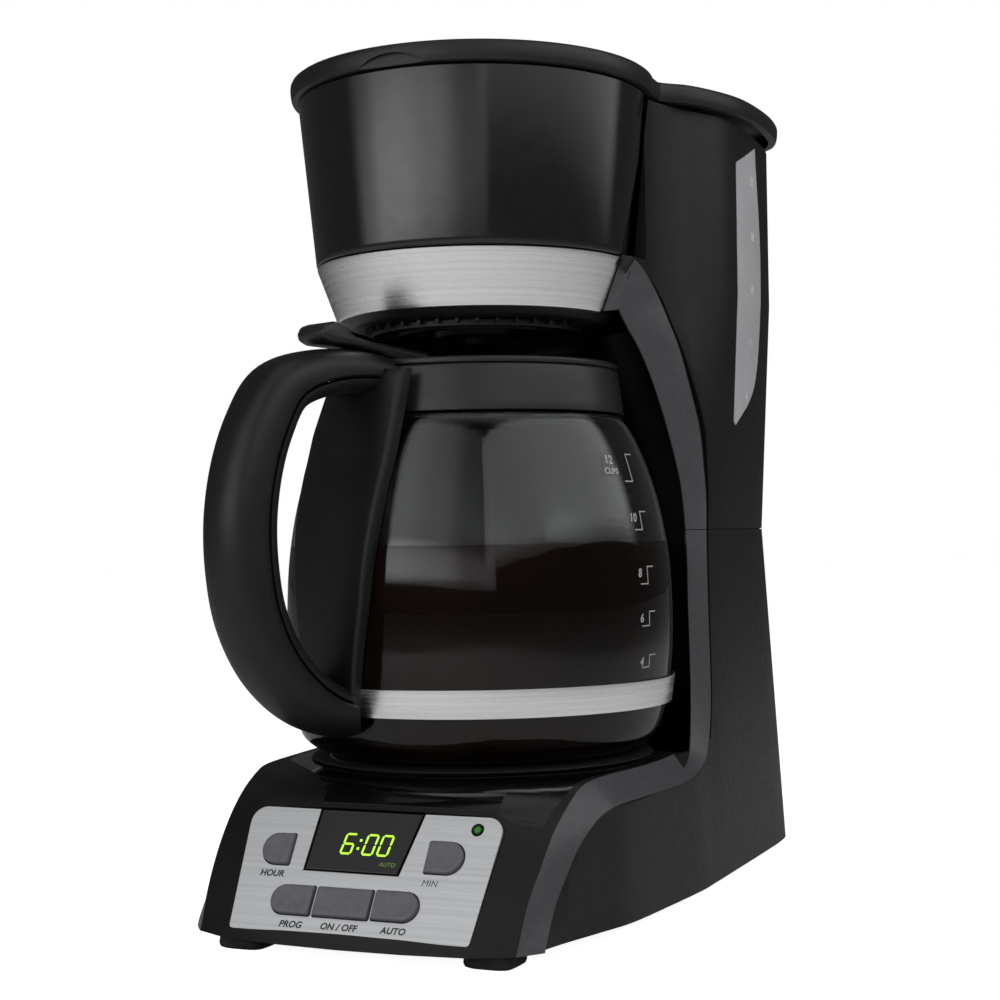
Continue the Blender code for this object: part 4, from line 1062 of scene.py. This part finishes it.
def make_legends():
    def at(x, s, out):
        return lambda a, b, c: on_panel(x + a, s + b, out + c)

    for name, text, x, s in LEGENDS:
        lettering(f"legend_{name}", text, 3.3, "ink", at(x, s - 1.1, 0.05),
                  bold=-0.03 if text == "MIN" else 0.08)
    lettering("legend_display", "AUTO", 2.2, "digits_dim", at(9.4, 26.2, 0.36))


# ---------------------------------------------------------------- carafe


GLASS_LINE = smooth_flat(GLASS, 6)


def glass_radius(z):
    return value_at(GLASS_LINE, z)


def inner_line(clearance=0.0):
    """The inside of the glass from its floor up, moved in by a clearance."""
    wall = GLASS_WALL + clearance
    floor = GLASS_BOTTOM + 2.6 + clearance
    return [(0, floor), (58, floor), (65.2 - clearance, 65.6 + clearance),
            *((r - wall, z) for r, z in GLASS_LINE if z > 69)]


def make_glass():
    """The jug and the coffee, which reaches a little into the glass so that no gap shows between them."""
    profile = [(0, GLASS_BOTTOM), *GLASS_LINE, *reversed(inner_line())]
    jug = lathe(profile, 0.3, 1, 160)
    add("glass_jug", jug, "glass", "carafe", "carafe_glass", smooth=50)
    side = [(r, z) for r, z in inner_line(-0.35) if z < COFFEE_Z]
    rim = side[-1][0]
    surface = [(rim + 0.1, COFFEE_Z + 0.7), (rim - 0.6, COFFEE_Z + 0.25), (rim - 1.8, COFFEE_Z),
               (0, COFFEE_Z)]
    add("coffee", turned([*side, *surface], 160), "coffee", "carafe", smooth=40)


def make_bubbles():
    """Small bubbles in a line where the coffee meets the glass."""
    whole = bmesh.new()
    radius = glass_radius(COFFEE_Z) - GLASS_WALL - 0.6
    for k in range(150):
        jitter = noise.noise_vector(Vector((k * 1.7, 3.1, 0.4)))
        size = 0.35 + 0.45 * abs(jitter.x)
        spot = polar(-62 + k * 0.9 + jitter.y * 2.2, radius - abs(jitter.z) * 2.0, COFFEE_Z + 0.15)
        bmesh.ops.create_icosphere(whole, subdivisions=2, radius=size, matrix=Matrix.Translation(spot))
    add("bubbles", whole, "foam", "carafe", smooth=60)


def make_carafe_trim():
    low, high = CARAFE_BAND_LOW, CARAFE_BAND_HIGH
    low_r, high_r = glass_radius(low), glass_radius(high)
    band = [(low_r + GAP, low), (low_r + 1.0, low), (high_r + 1.0, high), (high_r + GAP, high)]
    add("jug_band", lathe(band, 0.3, 3, 180), "band", "carafe", "carafe_band")

    collar = [(54.0, COLLAR_TOP), (54.0, 201.8), (55.1, 197.8), (57.8, 194.0),
              (COLLAR_R + 1.4, COLLAR_BOTTOM + 0.4), (COLLAR_R + 1.1, 196.6), (COLLAR_R, 205.6),
              (COLLAR_R - 0.6, COLLAR_TOP - 0.8), (COLLAR_R - 1.4, COLLAR_TOP)]
    add("jug_collar", lathe(collar, 0.6, 3, 160), "collar", "carafe", "carafe_collar")


# Cups, and the heights of the bracket's top and bottom.
CUPS = (("12", 176.1, 165.6), ("10", 154.0, 147.1), ("8", 133.0, 126.5), ("6", 115.9, 110.6),
        ("4", 99.4, 94.9))
MARK_ANGLE, MARK_WIDTH, MARK_THICK = -80.0, 0.45, 0.05


def make_graduations():
    """Cup marks printed on the glass: a bracket for each, with its number beside it."""
    def at(along, z, out):
        radius = glass_radius(z) + 0.03 + out
        return polar(MARK_ANGLE - degrees(along / radius), radius, z)

    def stroke(a0, z0, a1, z1, steps=6):
        wide, tall = (MARK_WIDTH, 0) if a0 == a1 else (0, MARK_WIDTH)
        rings = []
        for k in range(steps + 1):
            a, z = a0 + (a1 - a0) * k / steps, z0 + (z1 - z0) * k / steps
            rings.append([at(a, z, 0), at(a + wide, z + tall, 0), at(a + wide, z + tall, MARK_THICK),
                          at(a, z, MARK_THICK)])
        return loft(rings)

    def letters(name, text, size, along, z):
        lettering(name, text, size, "glass_ink", lambda a, b, c: at(a + along, z + b, c),
                  "carafe", bold=0.08)

    marks = []
    for text, high, low in CUPS:
        marks += [stroke(0, low, 0, high), stroke(0, high, 5, high), stroke(-5, low, 0, low)]
        letters(f"cups_{text}", text, 4.6, -12.0 if text == "12" else -5.2, high - 3.6)
    letters("cups_word", "CUPS", 3.2, -12, 168.6)
    add("cup_brackets", merged(*marks), "glass_ink", "carafe")


# Cups, height and Y of the numbers on the window.
WINDOW_LEVELS = (("12", 297.6, 97.8), ("10", 273.6, 97.8), ("8", 250.3, 96.3), ("6", 227.2, 94.8),
                 ("4", 204.1, 91.8))


def make_level_marks():
    for text, z, y in WINDOW_LEVELS:
        lettering(f"level_{text}", text, 5.0, "white_ink",
                  lambda a, b, c, y=y, z=z: Vector((wall_x(y + a, z + b) + 0.03 + c, y + a, z + b - 1.6)),
                  bold=0.28)


# Half widths of the strap against height, on its right and on its left.
STRAP_LOW, STRAP_HIGH = 73.0, 209.0
STRAP_RIGHT = ((9.5, 73), (13.4, 94), (18, 123), (20.5, 152), (22, 182), (22.6, 209))
STRAP_LEFT = ((9.5, 73), (15, 94), (21, 123), (25, 152), (26, 172), (24, 186), (19, 198), (15, 209))


def seat_radius(z):
    """Radius of the glass or, higher up, of the straight line on which the strap passes the collar."""
    return max(glass_radius(z), min(69, 69 - (z - 173.5) * 0.221))


def strap_plate(near, far, rows=56, columns=28, fillet=1.1):
    """The plate that joins the grip to the glass and the collar, its outer edges rounded over."""
    rings = []
    levels = [STRAP_LOW + (STRAP_HIGH - STRAP_LOW) * k / rows for k in range(rows + 1)]
    for i in range(columns + 1):
        across = sin(pi * (i / columns - 0.5))
        widths = STRAP_LEFT if across > 0 else STRAP_RIGHT

        def point(z, out):
            radius = seat_radius(z) + out
            return polar(HANDLE_ANGLE + degrees(asin(value_at(widths, z) * across / radius)), radius, z)

        column = [point(z, near) for z in levels]
        for z in reversed(levels):
            edge = min((1 - abs(across)) * value_at(widths, z), z - STRAP_LOW, STRAP_HIGH - z)
            drop = fillet * (1 - sqrt(max(0.0, 1 - max(0.0, 1 - edge / fillet) ** 2)))
            dish = 0.7 * cos(across * pi / 2) ** 2
            column.append(point(z, far - drop - dish))
        rings.append(column)
    return loft(rings)


HANDLE_PATH = ((52, 207), (70, 208.4), (88, 206.6), (103.5, 200.4), (112.5, 187), (118.5, 171), (121.5, 153),
               (121, 135), (117.5, 118), (109.5, 102.5), (98.5, 91), (86, 83.5), (70, 79))


HANDLE_SIDE = Vector((-cos(radians(HANDLE_ANGLE)), sin(radians(HANDLE_ANGLE)), 0))


def handle_sweep(half, sides=48, power=0.75):
    """One half of the grip along its path: 1 is the outer half, -1 the inner, split by a seam."""
    line = smooth_line([(r, z, 0) for r, z in HANDLE_PATH], 8)
    rings = []
    for i, point in enumerate(line):
        ahead = (line[min(i + 1, len(line) - 1)] - line[max(i - 1, 0)]).normalized()
        normal = Vector((-ahead.y, ahead.x, 0))
        share = i / (len(line) - 1)
        deep, wide = 6.9 + 3.9 * sin(pi * share) + 2 * share, 15 - 2.5 * sin(pi * share)
        seam = -0.35 * deep + half * 0.45
        ring = []
        for a in around(sides):
            u = copysign(abs(cos(a)) ** power, cos(a)) * deep
            v = copysign(abs(sin(a)) ** power, sin(a)) * wide
            beyond = (seam - u) * half
            if beyond > 0:
                v *= max(0.0, 1 - beyond / deep * 0.5)
                u = seam
            elif beyond > -0.7:
                v *= 1 - 0.035 * (1 + beyond / 0.7) ** 2
            flat = point + normal * u
            ring.append(polar(HANDLE_ANGLE, flat.x, flat.y) + HANDLE_SIDE * v)
        rings.append(ring)
    return loft(rings)


def make_handle():
    """The grip, in two halves that stop at the strap, and the strap."""
    profile = [(0, 60), *((seat_radius(z) + 4.7, z) for z in range(62, 210, 3)),
               (seat_radius(STRAP_HIGH) + 4.7, STRAP_HIGH + 0.2), (COLLAR_R + 1.9, STRAP_HIGH + 0.2),
               (COLLAR_R + 1.6, 240), (0, 240)]
    for name, half, material, node in (("grip_outer", 1, "handle", "carafe_handle"),
                                       ("grip_inner", -1, "insert", "handle_insert")):
        grip = cut(handle_sweep(half), turned(profile, 120))
        add(name, grip, material, "carafe", node, smooth=35)
    add("grip_strap", strap_plate(0.5, 5.0), "handle", "carafe", "handle_strap", smooth=40)


# Side outline of the lid's thumb lever: radius against height.
LEVER = (
    (34, 213.0), (50, 213.3), (56, 214.7), (60, 215.8), (66, 216.8), (73, 217.7), (84, 218.1), (87.3, 219.6),
    (88.2, 222), (86.6, 224.9), (82.5, 226.3), (78, 226.2), (75, 224.6), (73.2, 222.4), (71, 221.2),
    (63, 219.9), (53, 219.0), (42, 218.1), (34, 217.8),
)


def make_lid():
    """The lid, a low dish with a plug under it, and its thumb lever."""
    lid = [(0, 207), (12, 207), (18, 205.8), (48, 205.8), (50.6, 207.2), (50.6, 209.2), (53.6, 209.2),
           (53.6, 211.3), (56.6, 211.3), (56.6, 213.0), (55.8, 213.7), (50, 213.7), (47, 212.6), (20, 212.6),
           (12, 214.2), (0, 214.2)]
    outline = rounded_profile(LEVER, 0.9, 4)
    right = ((6.6, 0), (7.3, 0.25), (7.8, 0.7), (8, 1.3))
    rings = [[polar(HANDLE_ANGLE, r, z) + HANDLE_SIDE * across for r, z in inset(outline, shrink)]
             for across, shrink in [*((-across, shrink) for across, shrink in reversed(right)), *right]]
    add("jug_lid", merged(lathe(lid, 0.4, 3, 128), loft(rings)), "collar", "carafe_lid",
        "carafe_lid", smooth=35)


def make_plate():
    edge, top = PLATE_R, PLATE_TOP
    plate = [(0, 57), (edge - 1, 57), (edge - 1, 56), (edge, 56), (edge, 59.2), (edge - 0.8, top),
             (edge - 4, top), (edge - 4.6, top - 0.25), (0, top - 0.25)]
    add("hot_plate", lathe(plate, 0.4, 3, 128), "plate", replaces="warming_plate")
    ring = [(edge + GAP, 54), (66.0, 54), (66.0, DECK_Z + 0.8), (68.6, DECK_Z + 0.8), (68.2, 59.4),
            (edge + GAP, 59.5)]
    add("plate_surround", lathe(ring, 0.4, 3, 128), "rubber", replaces="plate_ring")


def make_feet():
    """Square feet with rounded corners, each in its place on the frame."""
    for corner in ("front_right", "front_left", "rear_right", "rear_left"):
        low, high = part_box(f"foot_{corner}")
        x, y = (low.x + high.x) / 2 / MM, (low.y + high.y) / 2 / MM - AXIS_Y
        rings = []
        for radius, z in ((8.2, 0), (9.2, 0.5), (9.6, 1.6), (9.2, HOUSING_BOTTOM - 0.1)):
            rings.append([(x + radius * copysign(abs(cos(a)) ** 0.5, cos(a)),
                           y + radius * copysign(abs(sin(a)) ** 0.5, sin(a)), z)
                          for a in around(48)])
        add(f"rubber_{corner}", loft(rings), "rubber", replaces=f"foot_{corner}")


KEPT_NODES = {
    "base_pan": "body", "spray_head": "basket", "water_tank": "tank", "heater": "aluminium",
    "heater_bracket": "plated", "thermostat": "aluminium", "thermal_fuse": "aluminium",
    "cold_water_hose": "silicone", "hot_water_riser": "silicone", "check_valve": "aluminium",
    "display_module": "relay", "control_board": "board", "power_board": "board", "relay": "relay",
    "cord_inlet": "rubber", "hinge_pin_left": "plated", "hinge_pin_right": "plated",
    "base_screw_left": "plated", "base_screw_right": "plated",
}


def paint_kept_nodes():
    for name, material in KEPT_NODES.items():
        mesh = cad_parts[name].data
        mesh.materials.clear()
        paint(mesh, material, 28)


# ---------------------------------------------------------------- stage


def seen_by_camera(tree, hidden, seen):
    """A shader that is one thing to the camera's own rays and another to all other rays."""
    ray = tree.nodes.new("ShaderNodeLightPath")
    mix = tree.nodes.new("ShaderNodeMixShader")
    tree.links.new(ray.outputs["Is Camera Ray"], mix.inputs["Fac"])
    tree.links.new(hidden, mix.inputs[1])
    tree.links.new(seen, mix.inputs[2])
    return mix.outputs["Shader"]


def glow(tree, kind, strength):
    node = tree.nodes.new(kind)
    node.inputs["Color"].default_value = (1, 1, 1, 1)
    node.inputs["Strength"].default_value = strength
    return node.outputs[0]


# Emission of floor and room as the camera sees them, and as they light the object.
FLOOR_LIFT, FLOOR_GLOW = 0.94, 0.05
ROOM_SEEN, ROOM_LIGHT = 1.0, 0.06


def make_stage():
    """A pale floor that runs into the pale background, lifted a little so that it reads as white."""
    bm = bmesh.new()
    bmesh.ops.create_circle(bm, cap_ends=True, segments=64, radius=9.0)
    mesh = as_mesh("floor", bm)
    look = Look("floor", (0.9, 0.9, 0.9), 0.6, specular_ior_level=0.1)
    look.vary_colour(look.noise(3, 2), (0.89, 0.89, 0.89), (0.91, 0.91, 0.91))
    hidden = glow(look.tree, "ShaderNodeEmission", FLOOR_GLOW)
    seen = glow(look.tree, "ShaderNodeEmission", FLOOR_LIFT)
    both = look.node("ShaderNodeAddShader")
    look.link(look.shader.outputs["BSDF"], both.inputs[0])
    look.link(seen_by_camera(look.tree, hidden, seen), both.inputs[1])
    look.link(both.outputs["Shader"], look.tree.nodes["Material Output"].inputs["Surface"])
    mesh.materials.append(look.material)
    floor = placed("floor", mesh)


def make_world():
    """White to the camera and dim to the object, as black plastic is lit against dark surroundings."""
    world = bpy.data.worlds.new("studio")
    bpy.context.scene.world = world
    world.use_nodes = True
    tree = world.node_tree
    dim = glow(tree, "ShaderNodeBackground", ROOM_LIGHT)
    bright = glow(tree, "ShaderNodeBackground", ROOM_SEEN)
    tree.links.new(seen_by_camera(tree, dim, bright), tree.nodes["World Output"].inputs["Surface"])


def make_light(name, at, target, width, height, radiance, fade_across, fade_up):
    """A softbox of this radiance; each fade lists (place from 0 to 1, share of the radiance)."""
    data = bpy.data.lights.new(name, "AREA")
    data.shape = "RECTANGLE"
    data.size, data.size_y = width, height
    data.energy = radiance * width * height * pi
    data.use_nodes = True
    tree = data.node_tree
    place = tree.nodes.new("ShaderNodeNewGeometry")
    split = tree.nodes.new("ShaderNodeSeparateXYZ")
    both = tree.nodes.new("ShaderNodeMath")
    both.operation = "MULTIPLY"
    tree.links.new(place.outputs["Parametric"], split.inputs["Vector"])
    for axis, fade, socket in (("X", fade_across, 0), ("Y", fade_up, 1)):
        ramp = tree.nodes.new("ShaderNodeValToRGB")
        ramp.color_ramp.interpolation = "EASE"
        tree.links.new(split.outputs[axis], ramp.inputs["Fac"])
        for _ in fade[2:]:
            ramp.color_ramp.elements.new(0.5)
        for element, (position, share) in zip(ramp.color_ramp.elements, fade):
            element.position = position
            element.color = (share, share, share, 1)
        tree.links.new(ramp.outputs["Color"], both.inputs[socket])
    tree.links.new(both.outputs["Value"], tree.nodes["Emission"].inputs["Strength"])
    light = placed(name, data)
    light.location = at
    light.rotation_mode = "QUATERNION"
    light.rotation_quaternion = (Vector(target) - Vector(at)).to_track_quat("-Z", "Y")


# The photograph's camera: its turn, rise and roll in degrees, its place and its focal length.
CAMERA_TURN, CAMERA_RISE, CAMERA_ROLL = 23.97, 1.00, -0.92
CAMERA_AT = (0.3124, -0.7054, 0.1471)
CAMERA_LENS = 66.8

# Fades across and up a softbox.
SOFT = ((0.0, 0.0), (0.35, 1.0), (0.65, 1.0), (1.0, 0.0))
LEFT_ACROSS = ((0.0, 0.05), (0.17, 0.45), (0.31, 0.94), (0.42, 1.0), (0.6, 0.72), (0.8, 0.26), (1.0, 0.2))
LEFT_UP = ((0.0, 0.3), (0.034, 1.0), (0.083, 0.9), (0.144, 0.36), (0.75, 0.3), (1.0, 0.0))
RIGHT_ACROSS = ((0.0, 0.5), (0.12, 0.8), (0.5, 1.0), (0.85, 1.0), (1.0, 0.0))
RIGHT_UP = ((0.0, 0.3), (0.08, 1.0), (0.8, 1.0), (1.0, 0.0))

# name, bearing from the camera's line of sight (right is positive), distance, height, height aimed at,
# width, height of the softbox, radiance, fade across it, fade up it
LIGHTS = (
    ("left_sheet", -37.9, 1.02, 1.0, 1.0, 2.2, 1.6, 3.6, LEFT_ACROSS, LEFT_UP),
    ("right_sheet", 57.0, 0.89, 1.02, 1.02, 2.4, 1.4, 1.25, RIGHT_ACROSS, RIGHT_UP),
    ("overhead", -10, 0.25, 1.9, 0.1, 2.4, 2.0, 0.7, SOFT, SOFT),
)


def make_lights():
    middle = AXIS_Y * MM
    for name, bearing, distance, height, aim, width, tall, radiance, across, up in LIGHTS:
        turn = radians(CAMERA_TURN + bearing)
        at = (sin(turn) * distance, -cos(turn) * distance + middle, height)
        make_light(name, at, (0, middle, aim), width, tall, radiance, across, up)


def make_camera():
    turn, rise, roll = radians(CAMERA_TURN), radians(CAMERA_RISE), radians(CAMERA_ROLL)
    forward = Vector((-sin(turn) * cos(rise), cos(turn) * cos(rise), sin(rise)))
    level = Vector((cos(turn), sin(turn), 0))
    upright = level.cross(forward)
    right = level * cos(roll) + upright * sin(roll)
    up = right.cross(forward)
    data = bpy.data.cameras.new("camera")
    data.lens = CAMERA_LENS
    data.sensor_width = 36
    camera = placed("camera", data)
    turned_to = Matrix((right, up, -forward)).transposed().to_4x4()
    camera.matrix_world = Matrix.Translation(CAMERA_AT) @ turned_to
    bpy.context.scene.camera = camera


bpy.context.scene.view_settings.view_transform = "Standard"
for make in (make_camera, make_stage, make_world, make_lights,
             make_lower_shell, make_upper_shell, make_seam_lip, make_shaded_gloss, make_trim, make_painted_shadow,
             make_liner, make_window, make_level_marks, make_head, make_basket, make_cover, make_panel,
             make_glass, make_bubbles, make_carafe_trim, make_graduations, make_handle, make_lid,
             make_plate, make_feet, paint_kept_nodes):
    make()
